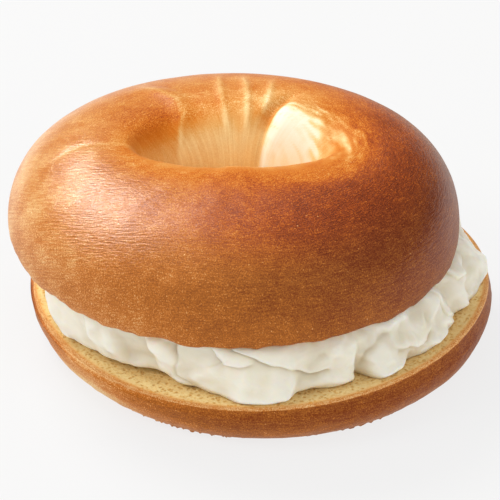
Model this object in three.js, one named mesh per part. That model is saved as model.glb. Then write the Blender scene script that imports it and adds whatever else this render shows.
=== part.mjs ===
// A cut bagel with a thick layer of soft white cheese spread between its halves.
// Millimetres, +Z up, the front of the bagel towards -Y. The lower half lies flat on the ground.
import * as THREE from 'three';

// Lower half: a flat-bottomed ring with a baked side wall, cut to a face that rises towards +X
const SLAB_RADIUS = 55;
const SLAB_FOOT_INSET = 7;
const SLAB_WIDEST_HEIGHT = 8.4;
const SLAB_THICKNESS = 11.3;
const SLAB_CUT_SLOPE = 0.037;
const SLAB_SIDE_LEAN = 0.8;
const SLAB_EDGE_ROUNDING = 0.8;
const SLAB_HOLE = { x: -4, y: 2, radius: 10 };
const SLAB_HOLE_FLARE = 3;
// Slow swells of the rim: how many fit round it, how high, and at which angle one of them peaks
const SLAB_SWELLS = [
  { waves: 1, height: 0.4, at: 90 },
  { waves: 2, height: 1.2, at: 138 },
  { waves: 3, height: 1.0, at: 24 },
];

// Upper half: a domed ring round a wide hollow, set a little to the left and back, leaning to the right
const TOP_OFFSET = { x: -5.7, y: 2.3 };
const TOP_CUT_HEIGHT = 25.2;
const TOP_ROLL = THREE.MathUtils.degToRad(1.15);
const TOP_RADIUS = 53.9;
const TOP_CUT_INSET = 0.8;
const TOP_WIDEST_HEIGHT = 2.9;
const TOP_HEIGHT = 22.6;
const TOP_SWELLS = [
  { waves: 1, height: 0.6, at: 158 },
  { waves: 2, height: 0.35, at: 109 },
];
const CREST_RADIUS = 24.3;
const CREST_SWELLS = [
  { waves: 1, height: 3.9, at: 58 },
  { waves: 2, height: 4.9, at: 0 },
];
const HEIGHT_SWELLS = [
  { waves: 1, height: 1.15, at: 296 },
  { waves: 2, height: 0.2, at: 102 },
];
// The hollow narrows from the crest to an oval mouth, and from there to a round throat at the cut face
const MOUTH = { x: -1.2, y: 2.5, along: 19.5, across: 7.3, height: 9 };
const THROAT = { x: 0, y: 1, along: 8.5, across: 7 };
const DOME_SQUARENESS = 2.2;
// The hollow's near rim turns down sharply, and its far wall slopes down in a round curve
const HOLLOW_SQUARENESS = { near: 3, far: 2 };

// Creases and ridges that run outwards over the crown. Their line is given by angles at a few radii.
// height is negative for a crease, and shoulder lifts the dough on the clockwise side of the line.
const FOLDS = [
  // the deep fold on the right, with the smooth bulge of dough beside it
  { radii: [8, 22, 34, 46], angles: [59, 62, 58, 58], width: 1.4, height: -1.5, shoulder: 2.0 },
  // the edge where the far wall turns into the scoop on the left
  { radii: [8, 13, 23, 33, 39], angles: [120, 115, 114, 122, 125], width: 2.4, height: 0.8, shoulder: 0 },
  // the crease that leaves the hollow on the left
  { radii: [23, 29, 44], angles: [186, 181, 178], width: 1.8, height: -0.7, shoulder: 0 },
  // stretch ridges on the far wall
  { radii: [8, 38], angles: [100, 100], width: 1.4, height: 0.6, shoulder: 0 },
  { radii: [8, 30], angles: [83, 83], width: 1.3, height: 0.6, shoulder: 0 },
  { radii: [12, 30], angles: [66, 73], width: 1.3, height: 0.5, shoulder: 0 },
];
const FOLD_FADE = 5;
const SHOULDER = { rise: 1.6, length: 11, end: 30, fade: 9 };
// The scoop at the left end of the hollow: its middle, its half sizes and its depth
const SCOOP = { at: 148, radius: 19, around: 11, across: 9, depth: 2.6 };

// Cheese layer: a core ring that reaches almost to the upper half's edge, with lumps squeezed out round it
const FACE_GAP = 0.3;
const CORE_FOOT_RADIUS = 44.5;
const CORE_LIP_INSET = 5;
const CHEESE_HOLE = { x: -4.5, y: 1.8, radius: 9.5 };
const CHEESE_FOOT_CURL = { height: 1.6, depth: 0.9 };
const LUMP_SQUARENESS = 2.6;
// Each lump: the angle of its middle, the height of its middle above the cut face, the radius that it
// reaches, its half length, half height and depth, and how far its line falls for each mm to the right.
const SHOWN_LUMPS = [
  { at: 201, up: 6.0, reach: 52.9, half: 16.0, high: 9.5, deep: 6.0, fall: 0.0 },
  { at: 220, up: 4.0, reach: 49.3, half: 9.0, high: 5.5, deep: 4.0, fall: 0.2 },
  { at: 227, up: 8.5, reach: 50.6, half: 8.0, high: 8.5, deep: 5.0, fall: 0.3 },
  { at: 235, up: 5.5, reach: 48.2, half: 8.0, high: 8.0, deep: 5.0, fall: 0.0 },
  { at: 243, up: 8.0, reach: 50.4, half: 4.0, high: 9.5, deep: 4.5, fall: 1.5 },
  { at: 251, up: 1.5, reach: 49.6, half: 9.0, high: 6.0, deep: 4.0, fall: 0.1 },
  { at: 264, up: 2.8, reach: 52.6, half: 12.5, high: 8.5, deep: 6.0, fall: 0.15 },
  { at: 272, up: 2.4, reach: 55.2, half: 8.0, high: 7.5, deep: 5.5, fall: 0.1 },
  { at: 273, up: 10.5, reach: 50.8, half: 15.0, high: 4.2, deep: 4.0, fall: 0.3 },
  { at: 289, up: 2.4, reach: 51.3, half: 7.0, high: 4.0, deep: 3.0, fall: 0.0 },
  { at: 293, up: 7.5, reach: 51.2, half: 9.0, high: 6.0, deep: 5.0, fall: 0.2 },
  { at: 304, up: 3.8, reach: 53.7, half: 7.5, high: 5.5, deep: 5.0, fall: 0.0 },
  { at: 317, up: 4.6, reach: 52.4, half: 8.5, high: 6.0, deep: 5.0, fall: -0.2 },
  { at: 326, up: 3.5, reach: 52.0, half: 6.0, high: 5.0, deep: 4.0, fall: 0.0 },
  { at: 330, up: 8.6, reach: 50.2, half: 8.0, high: 4.5, deep: 5.0, fall: -0.3 },
  { at: 337, up: 5.0, reach: 49.9, half: 6.0, high: 6.0, deep: 4.0, fall: 0.0 },
  { at: 345, up: 8.0, reach: 50.0, half: 8.0, high: 4.5, deep: 4.0, fall: 0.0 },
  { at: 349, up: 4.0, reach: 53.8, half: 8.0, high: 5.5, deep: 5.0, fall: 0.0 },
  { at: 2, up: 4.2, reach: 55.6, half: 9.0, high: 6.0, deep: 6.0, fall: 0.0 },
];
// Lumps of the same kind go on round the back, each with sizes drawn from these ranges. at is a share of
// the room that each lump has round the ring.
const BACK_LUMPS = { first: 16, last: 186, count: 13, seed: 7 };
const BACK_RANGES = {
  at: [0.3, 0.7],
  up: [3.5, 8.5],
  reach: [50.0, 53.2],
  half: [7, 13],
  high: [5.5, 8],
  deep: [4, 6],
  fall: [-0.3, 0.3],
};
const DRAW_STEP = 16807;
const DRAW_LIMIT = 2147483647;

// How finely each ring is divided: round the ring, and along each stretch of its section
const TOP_COLUMNS = 96;
const TOP_ROWS = { under: 2, dome: 10, hollow: 11, throat: 4, face: 3 };
const CHEESE_COLUMNS = 120;
const CHEESE_ROWS = { wall: 11, top: 2, hole: 2, bottom: 2 };
const SLAB_COLUMNS = 96;
const SLAB_ROWS = { side: 4, wall: 2, edge: 2, face: 2, hole: 2, bottom: 2 };

const CRUST = { color: 0xb5682c, roughness: 0.45, metalness: 0 };
const CHEESE = { color: 0xece7d8, roughness: 0.35, metalness: 0 };

const degrees = THREE.MathUtils.degToRad;
const mix = THREE.MathUtils.lerp;
const smooth = (x) => THREE.MathUtils.smoothstep(x, 0, 1);

// Sum of the slow swells of a rim at angle u
function swell(swells, u) {
  return swells.reduce((sum, s) => sum + s.height * Math.cos(s.waves * (u - degrees(s.at))), 0);
}

// Quarter of a superellipse with unit half axes: 2 is a circle, more is squarer
function quarterPoint(turn, squareness) {
  const c = Math.abs(Math.cos(turn));
  const s = Math.abs(Math.sin(turn));
  const reach = (c ** squareness + s ** squareness) ** (-1 / squareness);
  return [reach * c, reach * s];
}

// Distance from the middle axis, along angle u, to an oval that stands off that axis
function ovalReach(oval, u) {
  const dx = Math.cos(u) / oval.along;
  const dy = Math.sin(u) / oval.across;
  const ex = oval.x / oval.along;
  const ey = oval.y / oval.across;
  const size = dx ** 2 + dy ** 2;
  const toward = dx * ex + dy * ey;
  return (toward + Math.sqrt(toward ** 2 - size * (ex ** 2 + ey ** 2 - 1))) / size;
}

// The same for a circle
function circleReach(circle, u) {
  return ovalReach({ ...circle, along: circle.radius, across: circle.radius }, u);
}

// Shortest signed way round from angle b to angle a
function turnBetween(a, b) {
  return Math.atan2(Math.sin(a - b), Math.cos(a - b));
}

// Value at x of the line through the points (xs, ys)
function along(xs, ys, x) {
  const last = xs.length - 1;
  if (x <= xs[0]) return ys[0];
  if (x >= xs[last]) return ys[last];
  const k = xs.findIndex((edge) => edge > x) - 1;
  return mix(ys[k], ys[k + 1], (x - xs[k]) / (xs[k + 1] - xs[k]));
}

// Height of the crown's creases, ridges and scoop at angle u and distance r from the axis
function crownRelief(u, r) {
  let lift = 0;
  for (const fold of FOLDS) {
    const line = degrees(along(fold.radii, fold.angles, r));
    const side = turnBetween(u, line) * r;
    const near = smooth((r - fold.radii[0]) / FOLD_FADE + 0.5);
    const far = smooth((fold.radii.at(-1) - r) / FOLD_FADE + 0.5);
    const crease = fold.height * Math.exp(-((side / fold.width) ** 2));
    const rise = side < 0 ? 1 - Math.exp(-((side / SHOULDER.rise) ** 2)) : 0;
    const inside = smooth((SHOULDER.end - r) / SHOULDER.fade);
    const bulge = fold.shoulder * rise * inside * Math.exp(-((side / SHOULDER.length) ** 2));
    lift += near * far * (crease + bulge);
  }
  const around = (turnBetween(u, degrees(SCOOP.at)) * SCOOP.radius) / SCOOP.around;
  const across = (r - SCOOP.radius) / SCOOP.across;
  return lift - SCOOP.depth * Math.exp(-(around ** 2) - across ** 2);
}

// Moves each point of a section outwards by lift(point)
function pushedOut(section, lift) {
  return section.map(([r, z], k) => {
    const [r0, z0] = section[Math.max(k - 1, 0)];
    const [r1, z1] = section[Math.min(k + 1, section.length - 1)];
    const step = Math.hypot(r1 - r0, z1 - z0);
    const amount = lift([r, z]);
    return [r + (amount * (z1 - z0)) / step, z - (amount * (r1 - r0)) / step];
  });
}

// Points from a to b without b itself
function straight(a, b, steps) {
  return Array.from({ length: steps }, (_, k) => [mix(a[0], b[0], k / steps), mix(a[1], b[1], k / steps)]);
}

// Section of the upper half at angle u: round the outside, over the crown, down the hollow, back inside
function topSection(u) {
  const outer = TOP_RADIUS + swell(TOP_SWELLS, u);
  const crest = CREST_RADIUS + swell(CREST_SWELLS, u);
  const height = TOP_HEIGHT + swell(HEIGHT_SWELLS, u);
  const under = [];
  for (let k = 0; k < TOP_ROWS.under; k += 1) {
    const turn = (k / TOP_ROWS.under) * (Math.PI / 2);
    under.push([outer - TOP_CUT_INSET * (1 - Math.sin(turn)), TOP_WIDEST_HEIGHT * (1 - Math.cos(turn))]);
  }
  const skin = [];
  for (let k = 0; k < TOP_ROWS.dome; k += 1) {
    const [x, y] = quarterPoint((k / TOP_ROWS.dome) * (Math.PI / 2), DOME_SQUARENESS);
    skin.push([mix(crest, outer, x), mix(TOP_WIDEST_HEIGHT, height, y)]);
  }
  const mouth = ovalReach(MOUTH, u);
  const squareness = mix(HOLLOW_SQUARENESS.near, HOLLOW_SQUARENESS.far, smooth(0.5 + Math.sin(u)));
  for (let k = 0; k <= TOP_ROWS.hollow; k += 1) {
    const [x, y] = quarterPoint((1 - k / TOP_ROWS.hollow) * (Math.PI / 2), squareness);
    skin.push([mix(crest, mouth, x), mix(MOUTH.height, height, y)]);
  }
  const end = ovalReach(THROAT, u);
  const throat = [];
  for (let k = 1; k < TOP_ROWS.throat; k += 1) {
    const share = k / TOP_ROWS.throat;
    throat.push([mix(mouth, end, smooth(share)), MOUTH.height * (1 - share)]);
  }
  const face = straight([end, 0], [outer - TOP_CUT_INSET, 0], TOP_ROWS.face);
  return [...under, ...pushedOut(skin, ([r]) => crownRelief(u, r)), ...throat, ...face];
}

// Height of the lower half's cut face, and of the upper half's, over a point of the ground
const slabFaceHeight = (x) => SLAB_THICKNESS + SLAB_CUT_SLOPE * x;
const topFaceHeight = (x) => TOP_CUT_HEIGHT - (x - TOP_OFFSET.x) * Math.tan(TOP_ROLL);

// Section of the lower half at angle u: up the baked side, over the cut face, down the hole, back inside
function slabSection(u) {
  const widest = SLAB_RADIUS + swell(SLAB_SWELLS, u);
  const foot = widest - SLAB_FOOT_INSET;
  const hole = circleReach(SLAB_HOLE, u);
  const faceAt = (r) => slabFaceHeight(r * Math.cos(u));
  const side = [];
  for (let k = 0; k < SLAB_ROWS.side; k += 1) {
    const turn = (k / SLAB_ROWS.side) * (Math.PI / 2);
    side.push([mix(foot, widest, Math.sin(turn)), SLAB_WIDEST_HEIGHT * (1 - Math.cos(turn))]);
  }
  const edge = widest - SLAB_SIDE_LEAN;
  const shoulder = [edge, faceAt(edge) - SLAB_EDGE_ROUNDING];
  const wall = straight([widest, SLAB_WIDEST_HEIGHT], shoulder, SLAB_ROWS.wall);
  const rounding = [];
  for (let k = 0; k < SLAB_ROWS.edge; k += 1) {
    const turn = (k / SLAB_ROWS.edge) * (Math.PI / 2);
    const r = edge - SLAB_EDGE_ROUNDING * (1 - Math.cos(turn));
    rounding.push([r, faceAt(r) - SLAB_EDGE_ROUNDING * (1 - Math.sin(turn))]);
  }
  const rim = edge - SLAB_EDGE_ROUNDING;
  const face = straight([rim, faceAt(rim)], [hole, faceAt(hole)], SLAB_ROWS.face);
  const down = straight([hole, faceAt(hole)], [hole + SLAB_HOLE_FLARE, 0], SLAB_ROWS.hole);
  const bottom = straight([hole + SLAB_HOLE_FLARE, 0], [foot, 0], SLAB_ROWS.bottom);
  return [...side, ...wall, ...rounding, ...face, ...down, ...bottom];
}

// Repeatable draws: each call gives a number of the range
function seeded(seed) {
  let state = seed;
  return ([low, high]) => {
    state = (state * DRAW_STEP) % DRAW_LIMIT;
    return mix(low, high, state / DRAW_LIMIT);
  };
}

function backLumps() {
  const draw = seeded(BACK_LUMPS.seed);
  const around = (BACK_LUMPS.last - BACK_LUMPS.first) / BACK_LUMPS.count;
  return Array.from({ length: BACK_LUMPS.count }, (_, k) => {
    const lump = {};
    for (const [key, range] of Object.entries(BACK_RANGES)) lump[key] = draw(range);
    lump.at = BACK_LUMPS.first + (k + lump.at) * around;
    return lump;
  });
}

const LUMPS = [...SHOWN_LUMPS, ...backLumps()];

// Radius of the cheese's outer wall at angle u and height up above the cut face, in a gap of given height
function cheeseReach(u, up, gap) {
  const lip = circleReach({ ...TOP_OFFSET, radius: TOP_RADIUS - CORE_LIP_INSET }, u);
  let reach = mix(CORE_FOOT_RADIUS, lip, up / gap);
  for (const lump of LUMPS) {
    const side = turnBetween(u, degrees(lump.at)) * lump.reach;
    const over = up - lump.up + lump.fall * side;
    const spread = Math.hypot(side / lump.half, over / lump.high);
    const left = 1 - spread ** LUMP_SQUARENESS;
    if (left > 0) reach = Math.max(reach, lump.reach - lump.deep * (1 - Math.sqrt(left)));
  }
  const curl = Math.max(0, 1 - up / CHEESE_FOOT_CURL.height);
  return reach - CHEESE_FOOT_CURL.depth * curl ** 2;
}

// Section of the cheese at angle u: up the lumpy wall, in under the upper half, down the hole, back out
function cheeseSection(u) {
  const floorAt = (r) => slabFaceHeight(r * Math.cos(u)) + FACE_GAP;
  const roofAt = (r) => topFaceHeight(r * Math.cos(u)) - FACE_GAP;
  const wall = [];
  for (let k = 0; k <= CHEESE_ROWS.wall; k += 1) {
    const share = k / CHEESE_ROWS.wall;
    const gap = roofAt(SLAB_RADIUS) - floorAt(SLAB_RADIUS);
    const r = cheeseReach(u, share * gap, gap);
    wall.push([r, mix(floorAt(r), roofAt(r), share)]);
  }
  const foot = wall[0][0];
  const lip = wall.at(-1)[0];
  const hole = circleReach(CHEESE_HOLE, u);
  const top = straight([lip, roofAt(lip)], [hole, roofAt(hole)], CHEESE_ROWS.top).slice(1);
  const down = straight([hole, roofAt(hole)], [hole, floorAt(hole)], CHEESE_ROWS.hole);
  const bottom = straight([hole, floorAt(hole)], [foot, floorAt(foot)], CHEESE_ROWS.bottom);
  return [...wall, ...top, ...down, ...bottom];
}

// A closed ring from its section at each angle
function ringGeometry(columns, sectionAt) {
  const positions = [];
  let rows = 0;
  for (let i = 0; i < columns; i += 1) {
    const u = (i / columns) * 2 * Math.PI;
    const section = sectionAt(u);
    rows = section.length;
    for (const [r, z] of section) positions.push(r * Math.cos(u), r * Math.sin(u), z);
  }
  const faces = [];
  for (let i = 0; i < columns; i += 1) {
    const here = i * rows;
    const next = ((i + 1) % columns) * rows;
    for (let j = 0; j < rows; j += 1) {
      const above = (j + 1) % rows;
      faces.push(here + j, next + j, next + above);
      faces.push(here + j, next + above, here + above);
    }
  }
  const geometry = new THREE.BufferGeometry();
  geometry.setAttribute('position', new THREE.Float32BufferAttribute(positions, 3));
  geometry.setIndex(faces);
  geometry.computeVertexNormals();
  return geometry;
}

function ringMesh(name, columns, sectionAt, finish) {
  const mesh = new THREE.Mesh(ringGeometry(columns, sectionAt), new THREE.MeshStandardMaterial(finish));
  mesh.name = name;
  return mesh;
}

const bottom = ringMesh('bagel_bottom', SLAB_COLUMNS, slabSection, CRUST);
const cheese = ringMesh('cream_cheese', CHEESE_COLUMNS, cheeseSection, CHEESE);
const top = ringMesh('bagel_top', TOP_COLUMNS, topSection, CRUST);
top.position.set(TOP_OFFSET.x, TOP_OFFSET.y, TOP_CUT_HEIGHT);
top.rotation.y = TOP_ROLL;

// The whole bagel stands over the middle of the ground square that it covers
const bagel = new THREE.Group();
bagel.add(bottom, cheese, top);
const middle = new THREE.Box3().setFromObject(bagel, true).getCenter(new THREE.Vector3());
bagel.position.set(-middle.x, -middle.y, 0);

export default bagel;
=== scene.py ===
# %% [markdown]
# # A cut bagel with soft cheese, dressed for its picture
#
# The bagel is three rings that lie on each other: a flat lower half, a thick layer of soft cheese and a
# glossy domed upper half. The packed model gives their true size and place. Here each ring gets a fine
# surface of its own, worked out from its main sizes, and a material with the colours of a bake.
#
# Lengths are thought of in millimetres, as a baker would measure them, and turned into metres at the end.

# %% Load the packed model
import math
import bpy
import numpy as np
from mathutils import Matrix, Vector


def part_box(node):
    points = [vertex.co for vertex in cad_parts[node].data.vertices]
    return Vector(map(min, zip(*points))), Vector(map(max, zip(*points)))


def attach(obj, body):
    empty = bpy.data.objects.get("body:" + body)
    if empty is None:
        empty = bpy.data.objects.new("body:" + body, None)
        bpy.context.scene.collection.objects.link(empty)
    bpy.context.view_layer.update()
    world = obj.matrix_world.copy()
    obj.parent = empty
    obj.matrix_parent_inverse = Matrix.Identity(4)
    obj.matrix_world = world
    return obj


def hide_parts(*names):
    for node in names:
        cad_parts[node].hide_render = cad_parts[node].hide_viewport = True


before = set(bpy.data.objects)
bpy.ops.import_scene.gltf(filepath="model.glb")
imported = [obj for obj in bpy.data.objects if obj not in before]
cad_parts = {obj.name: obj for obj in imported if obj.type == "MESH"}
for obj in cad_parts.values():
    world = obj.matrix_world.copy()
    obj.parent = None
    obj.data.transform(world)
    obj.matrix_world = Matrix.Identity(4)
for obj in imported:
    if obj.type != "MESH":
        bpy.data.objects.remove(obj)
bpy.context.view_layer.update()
MM = 0.001

# %% [markdown]
# ## The camera
#
# A food picture like this one is taken with a long lens from about arm's length, looking down at a
# third of a right angle. The long lens keeps the ring from swelling towards the viewer. A lens could be
# guessed and the camera slid about by eye. Here the lens follows from how many pixels one metre of
# bagel should take in a picture 500 pixels wide, so that the size can't drift when the distance changes.

# %% Place the camera
PICTURE_PIXELS = 500
PIXELS_PER_METRE = 4203
CAMERA_DISTANCE = 1.2
CAMERA_TILT = math.radians(31.3)
AIM = Vector((-0.0002, -0.0006, 0.0206))
SENSOR = 36

lens_data = bpy.data.cameras.new("camera")
lens_data.sensor_width = SENSOR
lens_data.lens = SENSOR * PIXELS_PER_METRE * CAMERA_DISTANCE / PICTURE_PIXELS
camera = bpy.data.objects.new("camera", lens_data)
bpy.context.collection.objects.link(camera)
camera.location = AIM + CAMERA_DISTANCE * Vector((0, -math.cos(CAMERA_TILT), math.sin(CAMERA_TILT)))
camera.rotation_euler = (math.pi / 2 - CAMERA_TILT, 0, 0)
bpy.context.scene.camera = camera
print("lens", round(lens_data.lens), "mm")

# %% [markdown]
# ## From numbers to a ring
#
# All three layers are rings: one section, carried round the middle axis, and a little different at each
# angle. Such a surface could be a revolved curve with a displacement on top. A grid of points is simpler
# and exact: one index runs round the ring, the other runs round the section, and both close on
# themselves, so there is no seam and no pole to mend.


# %% Turn a grid of points into a closed mesh
def ring_object(name, points, values, vectors):
    """A closed ring of four-sided faces. Face (i, j) joins point j of section i to the same two points
    of the next section, and the last section joins the first. Points are given in millimetres."""
    columns, rows, _ = points.shape
    i, j = np.meshgrid(np.arange(columns), np.arange(rows), indexing="ij")
    next_i, next_j = (i + 1) % columns, (j + 1) % rows
    corners = np.stack([i * rows + j, next_i * rows + j, next_i * rows + next_j, i * rows + next_j], -1)
    count = columns * rows
    mesh = bpy.data.meshes.new(name)
    mesh.vertices.add(count)
    mesh.vertices.foreach_set("co", (points * MM).ravel())
    mesh.loops.add(count * 4)
    mesh.loops.foreach_set("vertex_index", corners.ravel())
    mesh.polygons.add(count)
    mesh.polygons.foreach_set("loop_start", np.arange(count) * 4)
    mesh.polygons.foreach_set("use_smooth", np.ones(count, bool))
    mesh.update(calc_edges=True)
    for key, data in values.items():
        mesh.attributes.new(key, "FLOAT", "POINT").data.foreach_set("value", data.ravel())
    for key, data in vectors.items():
        mesh.attributes.new(key, "FLOAT_VECTOR", "POINT").data.foreach_set("vector", data.ravel())
    made = bpy.data.objects.new(name, mesh)
    bpy.context.collection.objects.link(made)
    print(name, "has", 2 * count, "triangles")
    return made


# %% [markdown]
# ## Sizes that change slowly round the ring
#
# Dough is shaped by hand, so no radius is the same all round. A few long waves, each with a height and
# the angle of its peak, say this better than a list of radii. The openings are ovals that stand a little
# off the middle, and their reach along an angle is a short formula.


# %% Waves, ovals and soft steps
def swell(waves, u):
    """Sum of cosines: each wave fits a whole number of times round the ring and peaks at its own angle."""
    return sum(height * np.cos(times * (u - np.radians(at))) for times, height, at in waves)


def oval_reach(x, y, along, across, u):
    """Distance from the axis along angle u to an oval centred at x, y: the larger root of its equation."""
    dx, dy = np.cos(u) / along, np.sin(u) / across
    ex, ey = x / along, y / across
    size = dx**2 + dy**2
    toward = dx * ex + dy * ey
    return (toward + np.sqrt(toward**2 - size * (ex**2 + ey**2 - 1))) / size


def quarter(turn, squareness):
    """Quarter of a superellipse: the point at that turn, stretched until the powers of x and y add to 1."""
    c, s = np.abs(np.cos(turn)), np.abs(np.sin(turn))
    reach = (c**squareness + s**squareness) ** (-1 / squareness)
    return reach * c, reach * s


def smooth(x):
    """Soft step from 0 to 1: three x squared minus two x cubed, held level outside."""
    x = np.clip(x, 0, 1)
    return x * x * (3 - 2 * x)


def mix(a, b, share):
    """Straight line from a to b."""
    return a + (b - a) * share


def turn_between(a, b):
    """Shortest signed way round from angle b to angle a."""
    return np.arctan2(np.sin(a - b), np.cos(a - b))


def hill(u, at, width):
    """Bell round the ring: one at the angle, falling off with the square of the turn over the width."""
    return np.exp(-((turn_between(u, math.radians(at)) / math.radians(width)) ** 2))


def hills(u, table, level=0):
    """A level plus bells round the ring, each given by its height, its angle and its width."""
    return sum((height * hill(u, at, width) for height, at, width in table), level)


print("a quarter oval passes through", [round(float(v), 2) for v in quarter(math.pi / 4, 3)])

# %% [markdown]
# ## Unevenness that can be repeated
#
# Nothing baked is smooth. Blender has noise textures, but a texture can't bend a mesh before it is
# exported, so the larger unevenness is worked out here. Random values sit on a lattice that closes round
# the ring, and the surface between them is blended, so that one seed always gives the same bagel.


# %% Lattice noise
LATTICE_ROWS = 256


def noise(turns, length, row_length, around, seed, first_row=0):
    """Random numbers from -1 to 1 on a lattice, blended with soft steps both ways. turns counts rounds of
    the ring and around is how many lattice points close it. length runs across the ring, and a lattice row
    takes row_length of it. These last four numbers make a pattern, which gets a name where it is used."""
    rows = length / row_length + first_row
    table = np.random.default_rng(seed).uniform(-1, 1, (around, LATTICE_ROWS))
    x = (turns % 1.0) * around
    i, j = np.floor(x).astype(int), np.floor(rows).astype(int)
    fx, fy = smooth(x - i), smooth(rows - j)
    near = mix(table[i % around, j % LATTICE_ROWS], table[(i + 1) % around, j % LATTICE_ROWS], fx)
    above = (j + 1) % LATTICE_ROWS
    far = mix(table[i % around, above], table[(i + 1) % around, above], fx)
    return mix(near, far, fy)


print("noise repeats:", noise(np.array([0.2]), np.array([3.4]), 1, 40, 1))

# %% [markdown]
# ## The upper half
#
# The half ring has a nearly upright outer wall, a domed crown and a wide oval hollow that narrows to the
# hole. The near rim of the hollow turns down sharply, while its far wall is a long round slope. These
# main sizes stand in the packed model too, so this surface lies close to its solid.

# %% Sizes of the upper half
TOP_SHIFT = np.array([-5.7, 2.3, 25.2])
TOP_ROLL = math.radians(1.15)
TOP_RADIUS = 53.9
TOP_CUT_INSET = 0.8
TOP_WIDEST_HEIGHT = 2.9
TOP_HEIGHT = 22.6
TOP_WAVES = [(1, 0.6, 158), (2, 0.35, 109)]
CREST_RADIUS = 24.3
CREST_WAVES = [(1, 3.9, 58), (2, 4.9, 0)]
HEIGHT_WAVES = [(1, 1.15, 296), (2, 0.2, 102)]
MOUTH = {"x": -1.2, "y": 2.5, "along": 19.5, "across": 7.3}
MOUTH_HEIGHT = 9
THROAT = {"x": 0, "y": 1, "along": 8.5, "across": 7}
DOME_SQUARENESS = 2.2
NEAR_SQUARENESS = 3
FAR_SQUARENESS = 2


def straight(start, end, count):
    """Points on the line from start to end, both (distance, height) pairs of columns, without the end."""
    share = np.arange(count) / count
    return mix(start[0], end[0], share), mix(start[1], end[1], share)


def top_section(u, counts):
    """Distance from the axis and height, round the section: a quarter ellipse under the widest line, a
    superellipse over it to the crest, another down the hollow, a soft step down the throat, and the face."""
    u = u[:, None]
    outer = TOP_RADIUS + swell(TOP_WAVES, u)
    crest = CREST_RADIUS + swell(CREST_WAVES, u)
    height = TOP_HEIGHT + swell(HEIGHT_WAVES, u)
    turn = np.arange(counts["under"]) / counts["under"] * math.pi / 2
    under = outer - TOP_CUT_INSET * (1 - np.sin(turn)), TOP_WIDEST_HEIGHT * (1 - np.cos(turn)) + 0 * u
    x, y = quarter(np.arange(counts["dome"]) / counts["dome"] * math.pi / 2, DOME_SQUARENESS)
    dome = mix(crest, outer, x), mix(TOP_WIDEST_HEIGHT, height, y)
    mouth = oval_reach(u=u, **MOUTH)
    turn = (1 - np.arange(counts["hollow"]) / counts["hollow"]) * math.pi / 2
    x, y = quarter(turn[None], mix(NEAR_SQUARENESS, FAR_SQUARENESS, smooth(0.5 + np.sin(u))))
    hollow = mix(crest, mouth, x), mix(MOUTH_HEIGHT, height, y)
    throat_end = oval_reach(u=u, **THROAT)
    share = np.arange(counts["throat"]) / counts["throat"]
    throat = mix(mouth, throat_end, smooth(share)), MOUTH_HEIGHT * (1 - share) + 0 * u
    face = straight((throat_end, 0 * u), (outer - TOP_CUT_INSET, 0 * u), counts["face"])
    parts = [under, dome, hollow, throat, face]
    return np.hstack([p[0] for p in parts]), np.hstack([p[1] for p in parts])


TOP_COLUMNS = 640
TOP_ROWS = {"under": 6, "dome": 72, "hollow": 50, "throat": 8, "face": 14}
top_u = np.arange(TOP_COLUMNS) / TOP_COLUMNS * 2 * math.pi
top_r, top_z = top_section(top_u, TOP_ROWS)
print("upper half: radius to", round(top_r.max(), 1), "mm, height", round(top_z.max(), 1), "mm")

# %% [markdown]
# ## Folds round the hollow
#
# When the strip of dough was closed into a ring, its ends were rolled together. That join is the deep
# fold on the right of the hollow, with a smooth bulge of stretched dough beside it. Fainter ridges run
# over the far wall, and the left end of the hollow is scooped out. Each fold is a line from the hollow
# outwards, given by its angle at a few radii, with a bell-shaped section across it. Its "pale" lightens
# the colour along that line: partly the less baked stretched dough, partly a painted highlight where the
# ridge or crease catches the light.

# %% Folds, bulge and scoop
FOLDS = [
    {"radii": [8, 20, 29], "angles": [68, 68, 64], "width": 1.5, "height": -1.2,
     "shoulder": 1.9, "pale": 0},
    {"radii": [15, 19, 23, 29, 39], "angles": [142, 133, 124, 121, 125], "width": 2.6,
     "height": 0.45, "pale": 0.12},
    {"radii": [25, 32, 37, 43], "angles": [174, 176, 177, 182], "width": 1.3,
     "height": -0.12, "pale": 0.11},
    {"radii": [14, 40], "angles": [100, 97], "width": 1.2, "height": 0.32, "pale": 0.12},
    {"radii": [14, 37], "angles": [82, 88], "width": 1.1, "height": 0.4, "pale": 0.12},
    {"radii": [19, 36], "angles": [72, 77], "width": 1.1, "height": 0.36, "pale": 0.12},
]
FOLD_FADE = 8
SHOULDER_RISE, SHOULDER_LENGTH, SHOULDER_END, SHOULDER_FADE = 2.8, 12, 30, 10
SCOOP = {"at": 148, "radius": 19, "around": 11, "across": 9, "depth": 2.6}


def fold_side(fold, u, r):
    """Distance in mm from the fold's line, counter-clockwise positive: the turn to the line times r."""
    return turn_between(u, np.radians(np.interp(r, fold["radii"], fold["angles"]))) * r


def fold_reach(fold, r):
    """One along the fold's length, with a soft step to zero at each end."""
    start = smooth((r - fold["radii"][0]) / FOLD_FADE + 0.5)
    return start * smooth((fold["radii"][-1] - r) / FOLD_FADE + 0.5)


def crown_relief(u, r):
    """Height over the plain crown: for each fold a bell across its line, on the deep fold a bulge that
    rises on the clockwise side and dies away, and minus a round bell for the scoop."""
    lift = np.zeros_like(r)
    for fold in FOLDS:
        side = fold_side(fold, u, r)
        crease = fold["height"] * np.exp(-((side / fold["width"]) ** 2))
        rise = np.where(side < 0, 1 - np.exp(-((side / SHOULDER_RISE) ** 2)), 0)
        inside = smooth((SHOULDER_END - r) / SHOULDER_FADE)
        bulge = fold.get("shoulder", 0) * rise * inside * np.exp(-((side / SHOULDER_LENGTH) ** 2))
        lift += fold_reach(fold, r) * (crease + bulge)
    around = turn_between(u, math.radians(SCOOP["at"])) * SCOOP["radius"] / SCOOP["around"]
    across = (r - SCOOP["radius"]) / SCOOP["across"]
    return lift - SCOOP["depth"] * np.exp(-(around**2) - across**2)


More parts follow.
